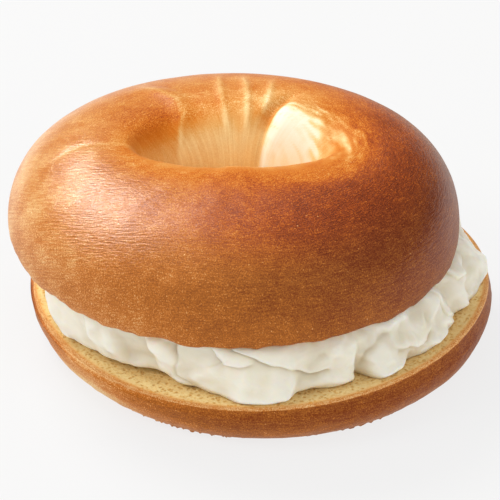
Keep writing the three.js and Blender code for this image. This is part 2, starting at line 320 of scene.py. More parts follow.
def pushed_out(r, z, lift):
    """Moves each point of every section along its normal: the tangent turned a quarter clockwise."""
    dr, dz = np.gradient(r, axis=1), np.gradient(z, axis=1)
    step = np.hypot(dr, dz)
    return r + lift * dz / step, z - lift * dr / step


skin_rows = np.arange(top_r.shape[1]) < TOP_ROWS["under"] + TOP_ROWS["dome"] + TOP_ROWS["hollow"]
top_length = np.cumsum(np.hypot(np.gradient(top_r, axis=1), np.gradient(top_z, axis=1)), axis=1)
turns = np.broadcast_to(top_u[:, None] / (2 * math.pi), top_r.shape)
print("the crust is", round(float(top_length[0, skin_rows.sum()])), "mm long from the cut to the throat")

# %% [markdown]
# ## Hand-shaped unevenness of the crown
#
# Under the fine skin the crown has shallow dents as wide as a finger. They matter more than any texture,
# because they bend the long highlight of the window. The cut edge is a little wavy too, where the knife
# met the crust.

# %% Dents, wavy cut edge and the upper half's mesh
DENT_DEPTH, DENT_INWARD, RIPPLE_DEPTH = 0.10, 0.4, 0.012
BROAD_DENTS, SMALL_DENTS = (14, 22, 11), (6, 50, 12)
RIPPLES, RIPPLE_BEND = (1.6, 70, 13), (9, 40, 14)
CALM_CUT = 4
EDGE_WAVE, EDGE_NICK = 0.5, 0.3
EDGE_WAVES, EDGE_NICKS = (1, 46, 15), (1, 170, 16)
EDGE_FADE, EDGE_TOP = 3.5, 8
EDGE_INNER_RADIUS, EDGE_BLEND = 46, 5

dents = noise(turns, top_length, *BROAD_DENTS) + 0.5 * noise(turns, top_length, *SMALL_DENTS)
ripples = noise(turns + 0.002 * noise(turns, top_length, *RIPPLE_BEND), top_length, *RIPPLES)
fine_lift = DENT_DEPTH * (dents - DENT_INWARD) + RIPPLE_DEPTH * ripples
lift = np.where(skin_rows, crown_relief(top_u[:, None], top_r) + fine_lift * smooth(top_z / CALM_CUT), 0)
skin_r, skin_z = pushed_out(top_r, top_z, lift)
edge_wave = EDGE_WAVE * noise(turns, 0 * turns, *EDGE_WAVES)
edge_wave = edge_wave + EDGE_NICK * noise(turns, 0 * turns, *EDGE_NICKS)
edge_wave = edge_wave * np.exp(-((top_z / EDGE_FADE) ** 2))
outside = smooth((top_r - EDGE_INNER_RADIUS) / EDGE_BLEND)
skin_z = skin_z + np.where(top_z < EDGE_TOP, edge_wave * outside, 0)


def placed(r, z, u, shift, roll):
    """Round the axis by angle u, then rolled about the Y axis and shifted."""
    x, y = r * np.cos(u)[:, None], r * np.sin(u)[:, None]
    c, s = math.cos(roll), math.sin(roll)
    return np.stack([x * c + z * s, y, z * c - x * s], -1) + shift


print("dents reach", round(float(np.abs(fine_lift).max()), 2), "mm")

# %% [markdown]
# ## How far each spot was baked
#
# The colour of a crust follows the heat it got. The crown's right flank faced the oven's hot side and is
# mahogany, the band above the cut and the left flank stayed golden, and the walls of the hollow are
# nearly raw dough. A lighter patch low on the left flank is in part a painted sheen. One number for
# each point, from 0 for pale dough to 1 for the darkest crust, is put together from soft patches, and
# the material later turns that number into colour.

# %% Bake of the upper half
BAKE_RINGS = [
    {"place": 0.00, "pale": 0.26, "more": 0.46, "at": 350, "width": 85},
    {"place": 0.12, "pale": 0.28, "more": 0.50, "at": 348, "width": 85},
    {"place": 0.40, "pale": 0.27, "more": 0.62, "at": 348, "width": 82},
    {"place": 0.70, "pale": 0.33, "more": 0.56, "at": 334, "width": 64},
    {"place": 0.90, "pale": 0.36, "more": 0.36, "at": 318, "width": 56},
    {"place": 1.00, "pale": 0.37, "more": 0.16, "at": 300, "width": 50},
]
BAKE_PATCHES = [
    {"at": 283, "place": 0.80, "turn": 24, "length": 0.14, "more": 0.05},
    {"at": 75, "place": 1.05, "turn": 34, "length": 0.22, "more": -0.10},
    {"at": 315, "place": 1.00, "turn": 40, "length": 0.16, "more": -0.10},
    {"at": 30, "place": 0.85, "turn": 26, "length": 0.16, "more": 0.10},
    {"at": 150, "place": 1.15, "turn": 24, "length": 0.28, "more": 0.08},
    # painted sheen in part: this patch lightens the lower left flank
    {"at": 196, "place": 0.45, "turn": 20, "length": 0.30, "more": -0.06},
    {"at": 166, "place": 0.95, "turn": 14, "length": 0.20, "more": -0.07},
    {"at": 56, "place": 0.92, "turn": 20, "length": 0.20, "more": -0.09},
    {"at": 222, "place": 0.75, "turn": 18, "length": 0.22, "more": 0.04},
    {"at": 150, "place": 1.35, "turn": 26, "length": 0.25, "more": 0.10},
    {"at": 138, "place": 1.02, "turn": 12, "length": 0.16, "more": 0.05},
    {"at": 8, "place": 0.98, "turn": 26, "length": 0.13, "more": 0.15},
    {"at": 255, "place": 0.72, "turn": 13, "length": 0.18, "more": 0.07},
]
BAKE_CLOUDS, FINE_CLOUDS = (6, 40, 21), (3, 110, 22)
CLOUD_SHARE, FINE_CLOUD_SHARE = 0.05, 0.03
HOLLOW_PALE = 0.14
# Going from the crest to the mouth, the crust has faded to pale dough by this share of the way.
FADE_END, FADE_LATER_RIGHT = 0.55, 0.3
SCOOP_EDGE_WIDTH, SCOOP_FADE = 4, 1.0
SCOOP_SIDE_START, SCOOP_SIDE_RUN = 50, 70
RIDGE_WIDTH = 0.8


def section_place(counts):
    """Place along the skin: 0 at the widest line, 1 at the crest, 2 at the mouth, by quarter turns."""
    dome = np.arange(counts["dome"]) / counts["dome"]
    hollow = 1 + np.arange(counts["hollow"]) / counts["hollow"]
    rest = np.full(counts["throat"] + counts["face"], 2.0)
    return np.concatenate([np.zeros(counts["under"]), dome, hollow, rest])


def ring_bake(u, place):
    """On each ring a pale level plus a wide bell round its darkest angle. Between two rings the levels
    are blended in a straight line, and each patch adds a bell both ways."""
    places = [ring["place"] for ring in BAKE_RINGS]
    levels = np.stack(
        [ring["pale"] + ring["more"] * hill(u, ring["at"], ring["width"]) for ring in BAKE_RINGS]
    )
    k = np.clip(np.searchsorted(places, place, side="right") - 1, 0, len(places) - 2)
    share = np.clip((place - np.take(places, k)) / (np.take(places, k + 1) - np.take(places, k)), 0, 1)
    level = mix(levels[k], levels[k + 1], share[:, None]).T
    for patch in BAKE_PATCHES:
        near = np.exp(-(((place - patch["place"]) / patch["length"]) ** 2))
        level = level + patch["more"] * hill(u, patch["at"], patch["turn"])[:, None] * near
    return level


print(len(BAKE_RINGS), "rings and", len(BAKE_PATCHES), "patches of bake")

# %% [markdown]
# Going into the hollow the crust fades to pale dough, later on the right than elsewhere, and at the
# scoop's edge later still. Clouds of noise and the pale lines of the folds are laid over it.

# %% The baked levels put together
u_grid = top_u[:, None] + 0 * top_r
place = section_place(TOP_ROWS)
deepness = np.clip(place - 1, 0, 1)
fade_end = FADE_END + FADE_LATER_RIGHT * hill(u_grid, 0, 34)
scoop_side = smooth(fold_side(FOLDS[1], u_grid, top_r) / SCOOP_EDGE_WIDTH + 0.5)
past_scoop = np.degrees(turn_between(u_grid, math.radians(SCOOP["at"])))
scoop_side *= 1 - smooth((past_scoop - SCOOP_SIDE_START) / SCOOP_SIDE_RUN)
fade_end = mix(fade_end, SCOOP_FADE, scoop_side)
paling = smooth(deepness / fade_end) * 0.5 + 0.5 * np.clip(deepness / fade_end, 0, 1)
clouds = CLOUD_SHARE * noise(turns, top_length, *BAKE_CLOUDS) * (place < 2)
fine_clouds = FINE_CLOUD_SHARE * noise(turns, top_length, *FINE_CLOUDS)
top_bake = ring_bake(top_u, place) + clouds + fine_clouds
top_bake = mix(top_bake, HOLLOW_PALE, paling)
# painted highlight in part: a pale line along each fold, where its ridge or crease catches the light
for fold in FOLDS:
    ridge = np.exp(-((fold_side(fold, u_grid, top_r) / RIDGE_WIDTH) ** 2)) * fold_reach(fold, top_r)
    top_bake = mix(top_bake, np.clip(top_bake - fold["pale"], 0.1, 1), ridge)
print("baked levels run from", round(float(top_bake.min()), 2), "to", round(float(top_bake.max()), 2))

# %% [markdown]
# ## The stretched bulge
#
# The dough of the bulge beside the deep fold was stretched, and its skin stayed nearly raw. It ends in a
# fringe of fibres, a pale streak runs along outside it, and faint darker hairs lie on it. The bulge's edge
# and the streak are lines whose radius is given at a few angles, and noise that is stretched outwards
# breaks them up. On the other walls of the hollow there are faint threads that run down into it.

# %% Bulge, streak, hairs and threads
BULGE_TURNS = [-8, 8, 19, 27, 36, 48, 64]
BULGE_RADII = [12.5, 17.8, 21.1, 22.8, 23.8, 24.4, 25]
BULGE_PALE, BULGE_STRANDS, BULGE_FIRST = 0.02, 0.03, 0.8
BULGE_EDGE_WIDTH, BULGE_FRINGE, BULGE_FOLD_WIDTH = 5, 3.0, 3.5
STREAK_ANGLES = [-41, -24, -3, 14, 30, 45, 57]
STREAK_RADII = [31.4, 28.1, 26.4, 26.2, 26.8, 27.7, 27.6]
STREAK_WIDTH, STREAK_END, STREAK_PALE = 0.9, 15, 0.17
FIBRES, FIBRE_DRIFT = (1.1, 60, 23), 260
STRANDS, STRAND_DRIFT, STRAND_BAKE = (0.8, 44, 24), 400, 0.16
THREADS, THREAD_BAKE, THREAD_START, THREAD_RUN = (14, 330, 25), 0.02, 1.1, 0.2
FRINGE_AT, FRINGE_WIDTH = 20, 42
FRINGE_START, FRINGE_START_RUN, FRINGE_END, FRINGE_END_RUN = 0.85, 0.15, 1.6, 0.25
HAIR_SPACING, HAIR_WIDTH, HAIR_BAKE, HAIR_SWAY = 3.1, 0.045, 0.05, 1.6
HAIR_BEND, HAIR_GAPS = (9, 14, 26), (HAIR_SPACING, 24, 27)

signed_turn = np.degrees(turn_between(u_grid, 0))
strands = noise(turns + top_r / STRAND_DRIFT, top_r, *STRANDS)
bulge_edge = np.interp(signed_turn, BULGE_TURNS, BULGE_RADII, left=0, right=0)
bulge = smooth((bulge_edge + BULGE_FRINGE * strands - top_r) / BULGE_EDGE_WIDTH + 0.5)
bulge = bulge * (place > BULGE_FIRST)
bulge *= smooth(0.2 - fold_side(FOLDS[0], u_grid, top_r) / BULGE_FOLD_WIDTH)
top_bake = mix(top_bake, BULGE_PALE + BULGE_STRANDS * np.clip(strands, 0, 1), bulge)
streak_r = np.interp(signed_turn, STREAK_ANGLES, STREAK_RADII)
streak_start = smooth((signed_turn - STREAK_ANGLES[0]) / STREAK_END)
streak_ends = streak_start * smooth((STREAK_ANGLES[-1] - signed_turn) / STREAK_END)
streak = np.exp(-(((top_r - streak_r) / STREAK_WIDTH) ** 2)) * streak_ends
fibres = 0.5 + 0.5 * noise(turns + top_r / FIBRE_DRIFT, top_r, *FIBRES)
top_bake -= STREAK_PALE * streak * fibres
hair_r = top_r + HAIR_SWAY * noise(turns, top_r, *HAIR_BEND)
hairs = np.exp(-(((hair_r / HAIR_SPACING % 1 - 0.5) / HAIR_WIDTH) ** 2))
hairs = hairs * smooth(noise(turns, hair_r, *HAIR_GAPS))
top_bake += HAIR_BAKE * hairs * bulge
fringe_side = hill(u_grid, FRINGE_AT, FRINGE_WIDTH)
strands = strands * fringe_side * smooth((place - FRINGE_START) / FRINGE_START_RUN) * (1 - bulge)
strands = STRAND_BAKE * strands * smooth((FRINGE_END - place) / FRINGE_END_RUN)
threads = noise(turns, top_length, *THREADS) * (1 - fringe_side)
threads = threads * smooth((place - THREAD_START) / THREAD_RUN)
top_bake += strands + THREAD_BAKE * threads
top_bake = np.clip(top_bake, 0, 1)
print("the bulge covers", round(100 * float(bulge.mean()), 1), "percent of the section's points")

# %% [markdown]
# ## Where the skin shines and where it wrinkles
#
# The skin isn't the same all over. The flanks are duller brown than the crown, the shoulder on the left has
# level wrinkles, and the walls of the hollow have lines that run down into it. Under the window's sheen the
# left shoulder takes the flank's duller colours too, in part a painted highlight. Each of these is a number
# that the mesh carries, so that the material can blend from one to the other.

# %% Masks of the upper half
SKIN_RADIUS = 50
LEFT_SHEEN_FLANK = (0.8, 200, 42)
DULL_SIDES = [(0.85, 58, 60), (0.6, 280, 40)]
LEFT_SHOULDER = (1.15, 206, 50)
WRINKLES_LEAST, WRINKLES_SHOULDER, WRINKLES_RIGHT = 0.3, 0.7, (0.35, 345, 30)
# Where each mask ends or starts on the way from the widest line, and how much of the way it takes.
FLANK_END, FLANK_RUN = 0.75, 0.4
LEFT_FLANK_END, LEFT_FLANK_RUN = 1.0, 0.2
GLOSS_AT_CUT, GLOSS_RISE, GLOSS_END, GLOSS_RUN = 0.3, 0.4, 0.78, 0.24
INWARD_START, WRINKLES_END, MASK_RUN, SHOULDER_LAST = 1.05, 1.1, 0.25, 1.6

# painted highlight in part: the left shoulder, under the window's sheen, takes the flank's duller colours
left_sheen_flank = hills(u_grid, [LEFT_SHEEN_FLANK]) * smooth((LEFT_FLANK_END - place) / LEFT_FLANK_RUN)
flank = np.clip(smooth((FLANK_END - place) / FLANK_RUN) + left_sheen_flank, 0, 1)
gloss = 1 - smooth((place - GLOSS_END) / GLOSS_RUN)
gloss = gloss * (GLOSS_AT_CUT + (1 - GLOSS_AT_CUT) * smooth(place / GLOSS_RISE))
for side in DULL_SIDES:
    gloss = gloss * (1 - hills(u_grid, [side]))
inward = smooth((place - INWARD_START) / MASK_RUN) + 0 * u_grid
top_face_mask = np.where(skin_rows | (top_z > 0.01), 0.0, 1.0)
top_skin = np.stack([SKIN_RADIUS * np.cos(u_grid), SKIN_RADIUS * np.sin(u_grid), top_length], -1)
shoulder = np.clip(hills(u_grid, [LEFT_SHOULDER]), 0, 1) * (place < SHOULDER_LAST)
rough_skin = hills(u_grid, [WRINKLES_RIGHT], WRINKLES_LEAST + WRINKLES_SHOULDER * shoulder)
rough_skin = rough_skin * (1 - smooth((place - WRINKLES_END) / MASK_RUN))
print("gloss runs to", round(float(gloss.max()), 2), "and wrinkling to", round(float(rough_skin.max()), 2))

# %% [markdown]
# ## Where the packed pieces stand
#
# The packed model stands with the middle of its ground square at the origin, while the rings here are
# thought of round the lower half's own axis. That axis is found once, from the box of the packed lower
# half, and every ring is moved by the same amount. The skin's wrinkles lie level on the left shoulder, so
# the upper half also carries coordinates for them.

# %% Where the packed pieces stand
SLAB_RADIUS = 55
SLAB_WAVES = [(1, 0.4, 90), (2, 1.2, 138), (3, 1.0, 24)]
around = np.linspace(0, 2 * math.pi, 721)
rim = SLAB_RADIUS + swell(SLAB_WAVES, around)
rim_middle = [(np.max(v) + np.min(v)) / 2 for v in (rim * np.cos(around), rim * np.sin(around))]
low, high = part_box("bagel_bottom")
box_middle = [(low.x + high.x) / 2 / MM, (low.y + high.y) / 2 / MM]
ROW_SHIFT = np.array([box_middle[0] - rim_middle[0], box_middle[1] - rim_middle[1], 0])
print("the lower half's axis stands at", ROW_SHIFT.round(2), "mm")

LEVEL_TILT = CAMERA_TILT
LEVEL_STRETCH = 5.5


def level_lines(points):
    """Coordinates of the wrinkles on the left shoulder, which lie along the X axis: x is shortened by the
    stretch, and the other number is the height over a plane that leans towards the back."""
    x, y, z = np.moveaxis(points, -1, 0)
    return np.stack([x / LEVEL_STRETCH, y * math.sin(LEVEL_TILT) + z * math.cos(LEVEL_TILT), 0 * x], -1)


top_points = placed(skin_r, skin_z, top_u, TOP_SHIFT, TOP_ROLL) + ROW_SHIFT
top_level = level_lines(top_points)
bagel_top = ring_object(
    "top_crust",
    top_points,
    {"bake": top_bake, "face": top_face_mask, "flank": flank, "gloss": gloss, "shoulder": shoulder,
     "wrinkling": rough_skin, "inward": inward},
    {"skin": top_skin * MM, "level": top_level * MM},
)

# %% [markdown]
# ## The lower half
#
# The lower half is a flat slab of crumb inside a rounded side of crust. Its cut face rises a little
# towards the right, because the knife did. Round the face the crust stands up as a thin golden lip, and
# the foot, which lay on the baking sheet, is rough with grit.

# %% Sizes and section of the lower half
SLAB_FOOT_INSET = 7
SLAB_WIDEST_HEIGHT = 8.4
SLAB_THICKNESS = 11.3
SLAB_CUT_SLOPE = 0.037
SLAB_SIDE_LEAN = 0.8
SLAB_EDGE_ROUNDING = 0.8
SLAB_HOLE = {"x": -4, "y": 2, "along": 10, "across": 10}
SLAB_HOLE_FLARE = 3
SLAB_COLUMNS = 640
SLAB_ROWS = {"side": 34, "wall": 12, "edge": 8, "band": 30, "face": 14, "hole": 10, "bottom": 22}
FACE_BAND = 14


def slab_face(x):
    """Height of the lower half's cut face over a point: its thickness plus the slope times x."""
    return SLAB_THICKNESS + SLAB_CUT_SLOPE * x


def slab_section(u, counts):
    """Round the section: a quarter ellipse up the side, a straight wall, a small rounding, the cut face
    to the hole, the flared hole and the flat underside."""
    u = u[:, None]
    widest = SLAB_RADIUS + swell(SLAB_WAVES, u)
    foot = widest - SLAB_FOOT_INSET
    hole = oval_reach(u=u, **SLAB_HOLE)
    turn = np.arange(counts["side"]) / counts["side"] * math.pi / 2
    side = mix(foot, widest, np.sin(turn)), SLAB_WIDEST_HEIGHT * (1 - np.cos(turn)) + 0 * u
    edge = widest - SLAB_SIDE_LEAN
    edge_height = slab_face(edge * np.cos(u))
    wall_top = edge, edge_height - SLAB_EDGE_ROUNDING
    wall = straight((widest, SLAB_WIDEST_HEIGHT + 0 * u), wall_top, counts["wall"])
    turn = np.arange(counts["edge"]) / counts["edge"] * math.pi / 2
    r = edge - SLAB_EDGE_ROUNDING * (1 - np.cos(turn))
    rounding = r, slab_face(r * np.cos(u)) - SLAB_EDGE_ROUNDING * (1 - np.sin(turn))
    rim = edge - SLAB_EDGE_ROUNDING
    inner = rim - FACE_BAND
    on_face = (lambda r: (r, slab_face(r * np.cos(u))))
    band = straight(on_face(rim), on_face(inner), counts["band"])
    face = straight(on_face(inner), on_face(hole), counts["face"])
    flared = hole + SLAB_HOLE_FLARE
    down = straight(on_face(hole), (flared, 0 * u), counts["hole"])
    bottom = straight((flared, 0 * u), (foot, 0 * u), counts["bottom"])
    parts = [side, wall, rounding, band, face, down, bottom]
    return np.hstack([p[0] for p in parts]), np.hstack([p[1] for p in parts])


slab_u = np.arange(SLAB_COLUMNS) / SLAB_COLUMNS * 2 * math.pi
slab_r, slab_z = slab_section(slab_u, SLAB_ROWS)
print("lower half: radius to", round(slab_r.max(), 1), "mm")

# %% [markdown]
# ## Pores, lip and grit
#
# A cut crumb is full of small bubbles. The largest are pits in the mesh, and the material adds the fine
# ones. Grit along the foot is a field of small cones, one in a lattice cell here and there, which stand
# out from the side near the ground.

# %% Relief of the lower half
PORE_DEPTH, PORE_LEVEL, PORE_RUN = 0.22, 0.74, 0.25
FINE_CRUMB_DEPTH, SLOW_CRUMB_DEPTH = 0.12, 0.18
LIP_HEIGHT, LIP_INSET, LIP_WIDTH = 0.1, 0.9, 1.0
CRUMB_START, CRUMB_RUN = 0.6, 1.6
GRIT_SIZE, GRIT_LEVEL, GRIT_RUN = 0.55, 0.45, 0.35
GRIT_BAND, GRIT_LEAST, GRIT_MORE = 1.3, 0.35, 0.9
SIDE_CALM_FOOT = 2
SIDE_DENT, SIDE_DENT_INWARD, SIDE_RIPPLE = 0.2, 0.72, 0.08
SIDE_DENTS, SIDE_RIPPLES = (7, 44, 36), (2, 150, 37)
PORES, FINE_CRUMB, SLOW_CRUMB = (1.5, 210, 31), (0.9, 380, 32), (5, 60, 33)
GRIT, GRIT_PATCHES = (0.8, 520, 34), (1, 24, 35)
RELIEF_START, RELIEF_RUN = 12, 3

slab_turns = np.broadcast_to(slab_u[:, None] / (2 * math.pi), slab_r.shape)
slab_uu = slab_u[:, None] + 0 * slab_r
slab_length = np.cumsum(np.hypot(np.gradient(slab_r, axis=1), np.gradient(slab_z, axis=1)), axis=1)
ends = np.cumsum([0] + list(SLAB_ROWS.values()))
row = np.arange(slab_r.shape[1])
outer_rows = row < ends[2]
face_rows = (row >= ends[2]) & (row < ends[5])
widest = SLAB_RADIUS + swell(SLAB_WAVES, slab_uu)
from_rim = widest - SLAB_SIDE_LEAN - slab_r

pores = smooth((noise(slab_turns, slab_r, *PORES) - PORE_LEVEL) / PORE_RUN)
crumb = FINE_CRUMB_DEPTH * noise(slab_turns, slab_r, *FINE_CRUMB)
crumb = crumb + SLOW_CRUMB_DEPTH * noise(slab_turns, slab_r, *SLOW_CRUMB)
lip = LIP_HEIGHT * np.exp(-(((from_rim - LIP_INSET) / LIP_WIDTH) ** 2))
settle = smooth((from_rim - CRUMB_START) / CRUMB_RUN)
face_lift = (crumb - PORE_DEPTH * pores) * settle + lip
grit = smooth((noise(slab_turns, slab_length, *GRIT) - GRIT_LEVEL) / GRIT_RUN)
grit_patches = noise(slab_turns, 0 * slab_turns, *GRIT_PATCHES)
grit_band = np.exp(-((slab_z / GRIT_BAND) ** 2)) * smooth(GRIT_LEAST + GRIT_MORE * grit_patches)
side_lift = SIDE_DENT * (noise(slab_turns, slab_length, *SIDE_DENTS) - SIDE_DENT_INWARD)
side_lift = side_lift + SIDE_RIPPLE * noise(slab_turns, slab_length, *SIDE_RIPPLES)
side_lift = side_lift * smooth(slab_z / SIDE_CALM_FOOT) + GRIT_SIZE * grit * grit_band
slab_lift = np.where(outer_rows, side_lift, 0)
flat_r, flat_z = pushed_out(slab_r, slab_z, slab_lift)
flat_z = flat_z + np.where(face_rows, face_lift * smooth((slab_r - RELIEF_START) / RELIEF_RUN), 0)
flat_z = np.maximum(flat_z, 0)

print("grit stands out by", round(float((GRIT_SIZE * grit * grit_band).max()), 2), "mm")

# %% [markdown]
# The lower half's side is brown: darkest on the right, paler at the front left, where the paler colour is
# a painted sheen, and just under the cut, and a little darker again at the foot. On the cut face the crumb
# is toasted next to the crust and duller further in, and duller still on the right, where that is painted
# shade, and at the left. The underside and the grit keep some flour.

# %% Bake and mesh of the lower half
SIDE_BAKE, FACE_BAKE, HOLE_BAKE, UNDER_BAKE = 0.62, 0.24, 0.45, 0.52
SIDE_CLOUDS, UNDER_CLOUDS, FACE_CLOUDS = (9, 30, 38), (8, 40, 39), (2.4, 90, 40)
RIM_PALING, FOOT_DARKENING = 0.12, 0.10
TOAST_START, TOAST_LENGTH = 0.3, 0.4
INNER_START, INNER_RUN = 1.6, 4
FACE_START, FACE_RUN = 0.1, 0.5
SLAB_GLOSS, SLAB_WRINKLES = 0.08, 0.5
# painted sheen: the side is paler at the front left; it is darker on the right
SIDE_TINTS_AND_SHEEN = [(0.15, 340, 46), (-0.34, 217, 27)]
RIND = [(0.6, 0, 40), (0.3, 195, 30)]
# painted shade: the face's crumb is duller on the right; it is duller at the left too
DULLER_CRUMB_AND_SHADE = [(0.5, 325, 34), (0.35, 200, 28)]

slab_bake = SIDE_BAKE + 0.06 * noise(slab_turns, slab_length, *SIDE_CLOUDS)
slab_bake += hills(slab_uu, SIDE_TINTS_AND_SHEEN)
slab_bake -= RIM_PALING * smooth((from_rim + 0.7) / 0.8) * outer_rows
slab_bake = np.where(face_rows, FACE_BAKE, slab_bake)
# darker towards the foot
slab_bake += FOOT_DARKENING * np.exp(-((slab_z / 1.2) ** 2)) * outer_rows
slab_bake = np.where(row >= ends[5], HOLE_BAKE, slab_bake)
under_bake = UNDER_BAKE + 0.1 * noise(slab_turns, slab_r, *UNDER_CLOUDS)
slab_bake = np.where(row >= ends[6], under_bake, slab_bake)
rind = hills(slab_uu, RIND)
toast = np.exp(-np.clip(from_rim - TOAST_START - rind, 0, None) / TOAST_LENGTH)
inner = smooth((from_rim - INNER_START) / INNER_RUN) * (0.7 + 0.5 * noise(slab_turns, slab_r, *FACE_CLOUDS))
inner = hills(slab_uu, DULLER_CRUMB_AND_SHADE, inner)
slab_face_mask = np.where(face_rows, smooth((from_rim - FACE_START - rind) / FACE_RUN), 0.0)
slab_skin = np.stack([SKIN_RADIUS * np.cos(slab_uu), SKIN_RADIUS * np.sin(slab_uu), slab_length], -1)

bagel_bottom = ring_object(
    "bottom_crust",
    placed(flat_r, flat_z, slab_u, ROW_SHIFT, 0),
    {
        "bake": np.clip(slab_bake, 0, 1),
        "flank": 1.0 + 0 * slab_bake,
        "gloss": SLAB_GLOSS + 0 * slab_bake,
        "shoulder": 0.0 + 0 * slab_bake,
        "wrinkling": SLAB_WRINKLES + 0 * slab_bake,
        "inward": 0.0 + 0 * slab_bake,
        "face": slab_face_mask,
        "toast": toast * face_rows,
        "inner": np.clip(inner, 0, 1) * face_rows,
        "flour": np.where(row >= ends[6], 1.0, np.clip(grit * grit_band * 1.5, 0, 1)),
    },
    {"skin": slab_skin * MM, "level": slab_skin * MM},
)

# %% [markdown]
# ## The cheese
#
# Soft cheese is spread with a knife and then squeezed out as the upper half is pressed on. What shows
# is a wall that runs from its foot on the lower half up to the edge of the upper half, with soft lobes on
# it and a few thin sheets that lie over what is below them. A fluid could be simulated. A foot line, a
# lip, lobes and folds give the same forms, with each one under control.

# %% Foot, lip and lobes of the cheese
CHEESE_GAP = 0.1
LIP_RADIUS = 51.4
LIP_RECESS = {"at": 183, "width": 27, "depth": 6.5}
CHEESE_HOLE = {"x": -4.5, "y": 1.8, "along": 9.5, "across": 9.5}
FOOT_CURL_HEIGHT, FOOT_CURL_DEPTH = 1.6, 0.9
FOOT_LINE = [
    (194, 50.4), (223, 46.8), (238, 44.2), (251, 47.8), (258, 49.8), (266, 53.5), (272.5, 53.8),
    (276, 53.4), (280, 49.8), (284, 49.4), (291, 50.4), (295.5, 50.2), (297.3, 46.8), (303, 52.8),
    (307, 52.8), (313, 50.4), (320, 51.6), (326, 51.4), (339, 49.4), (345, 51.0), (353, 53.0),
    (363, 54.8), (378, 51.0), (394, 53.2), (410, 50.0), (426, 53.0), (443, 50.6), (460, 53.2),
    (477, 50.4), (493, 52.8), (510, 50.2), (530, 51.4), (543, 49.2),
]
LOBE_KEYS = ("at", "up", "lift", "half", "high", "slant")
SHOWN_LOBES = [
    (205, 6.5, 2.6, 14.0, 8.5, 0.10), (212, 2.0, 1.4, 8.0, 3.0, 0.0), (222.5, 7.0, 2.4, 5.0, 8.0, 0.3),
    (227.5, 6.5, 2.6, 3.2, 7.5, 0.7), (234, 2.0, 1.8, 9.0, 3.4, 0.0), (243.5, 9.5, 3.8, 4.2, 7.5, 1.0),
    (246, 3.0, 2.2, 4.5, 4.2, 0.4), (266, 4.5, 2.4, 17.0, 8.0, 0.1), (271, 1.8, 0.8, 12.0, 3.2, 0.0),
    (260, 13.0, 1.6, 7.0, 5.0, 0.2), (272, 12.5, 1.8, 12.0, 5.0, 0.35), (287, 2.6, 1.6, 8.0, 3.0, 0.1),
    (291.5, 1.5, 1.4, 3.5, 2.4, 0.0), (294, 8.5, 2.4, 9.0, 5.5, 0.2), (304, 3.5, 2.3, 6.5, 4.8, 0.0),
    (316, 5.5, 2.4, 8.0, 4.2, -0.15), (312, 11.0, 1.8, 7.0, 3.6, 0.0), (325, 2.8, 1.8, 5.0, 3.6, 0.0),
    (330, 9.4, 1.9, 6.0, 4.5, -0.6), (333, 4.6, 2.1, 4.5, 6.0, 0.0), (344, 4.6, 2.1, 5.0, 4.6, 0.0),
    (348, 9.6, 2.2, 6.0, 4.2, -0.3), (360, 5.0, 1.65, 9.0, 7.0, 0.0),
]
BACK_FIRST, BACK_LAST, BACK_COUNT = 14, 190, 15
LOBE_BLEND = 0.65


def seeded(seed):
    """Repeatable draws between 0 and 1: each state is the last times 16807, modulo a large prime."""
    state = seed
    while True:
        state = state * 16807 % 2147483647
        yield state / 2147483647


def back_lobes(draw):
    """Lobes of the same kind, spread evenly round the back, each with sizes drawn from a range."""
    made = []
    for k in range(BACK_COUNT):
        at = BACK_FIRST + (k + 0.3 + 0.4 * next(draw)) * (BACK_LAST - BACK_FIRST) / BACK_COUNT
        up, lift = mix(3.0, 9.5, next(draw)), mix(2.0, 3.2, next(draw))
        half, high, slant = mix(5, 11, next(draw)), mix(4.5, 7.5, next(draw)), mix(-0.4, 0.4, next(draw))
        made.append((at, up, lift, half, high, slant))
    return made


LOBES = [dict(zip(LOBE_KEYS, lobe)) for lobe in SHOWN_LOBES + back_lobes(seeded(7))]
print(len(LOBES), "lobes of cheese")

# %% [markdown]
# ## Sheets of cheese
#
# Where the knife laid one swipe over another, the upper one ends in a thin crisp edge with a groove below
# it, and painted shade darkens the line of the edge. Each edge is a line on the wall, given by angles and
# heights. The distance to that line has a sign, so that the sheet can swell on one side and the groove can
# sink on the other.

# %% Edges of the sheets
EDGE_RADIUS = 52
EDGE_FADE_OUT = 3
SHEETS = [
    {"angles": [255, 257, 260, 264, 269], "ups": [15.0, 11.5, 9.2, 8.8, 9.0], "lift": 1.1, "length": 4.0},
    {"angles": [261, 264, 268, 272, 277, 281, 285, 289], "ups": [15.0, 12.7, 11.2, 9.8, 7.7, 6.0, 4.8, 4.4],
     "lift": 1.5, "length": 4.5},
    {"angles": [217, 220, 222, 225], "ups": [15.0, 12.0, 8.0, 4.0], "lift": 1.0, "length": 5.0},
    {"angles": [248.5, 247.0, 246.3, 247.5, 251], "ups": [15.0, 11.0, 7.0, 3.5, 1.6],
     "lift": 1.0, "length": 3.5},
    {"angles": [307, 311, 316, 321, 324], "ups": [6.0, 3.6, 2.6, 3.2, 5.0], "lift": 0.9, "length": 3.0},
    {"angles": [298.5, 300, 303, 308], "ups": [3.0, 6.5, 8.2, 8.6], "lift": -0.8, "length": 3.0},
    {"angles": [326, 329, 331, 336], "ups": [13.0, 9.0, 5.0, 2.0], "lift": 0.9, "length": 3.0},
    {"angles": [341, 344, 349, 354], "ups": [11.0, 7.5, 6.8, 8.0], "lift": 0.9, "length": 3.0},
    {"angles": [60, 72, 84, 96], "ups": [11.0, 8.0, 7.0, 9.0], "lift": 1.2, "length": 4.0},
    {"angles": [120, 128, 140, 150], "ups": [6.0, 8.5, 9.0, 5.0], "lift": 1.2, "length": 4.0},
]
GROOVE_SHARE, GROOVE_WIDTH, EDGE_ROUND, CREASE_WIDTH = 0.34, 0.9, 0.5, 0.35


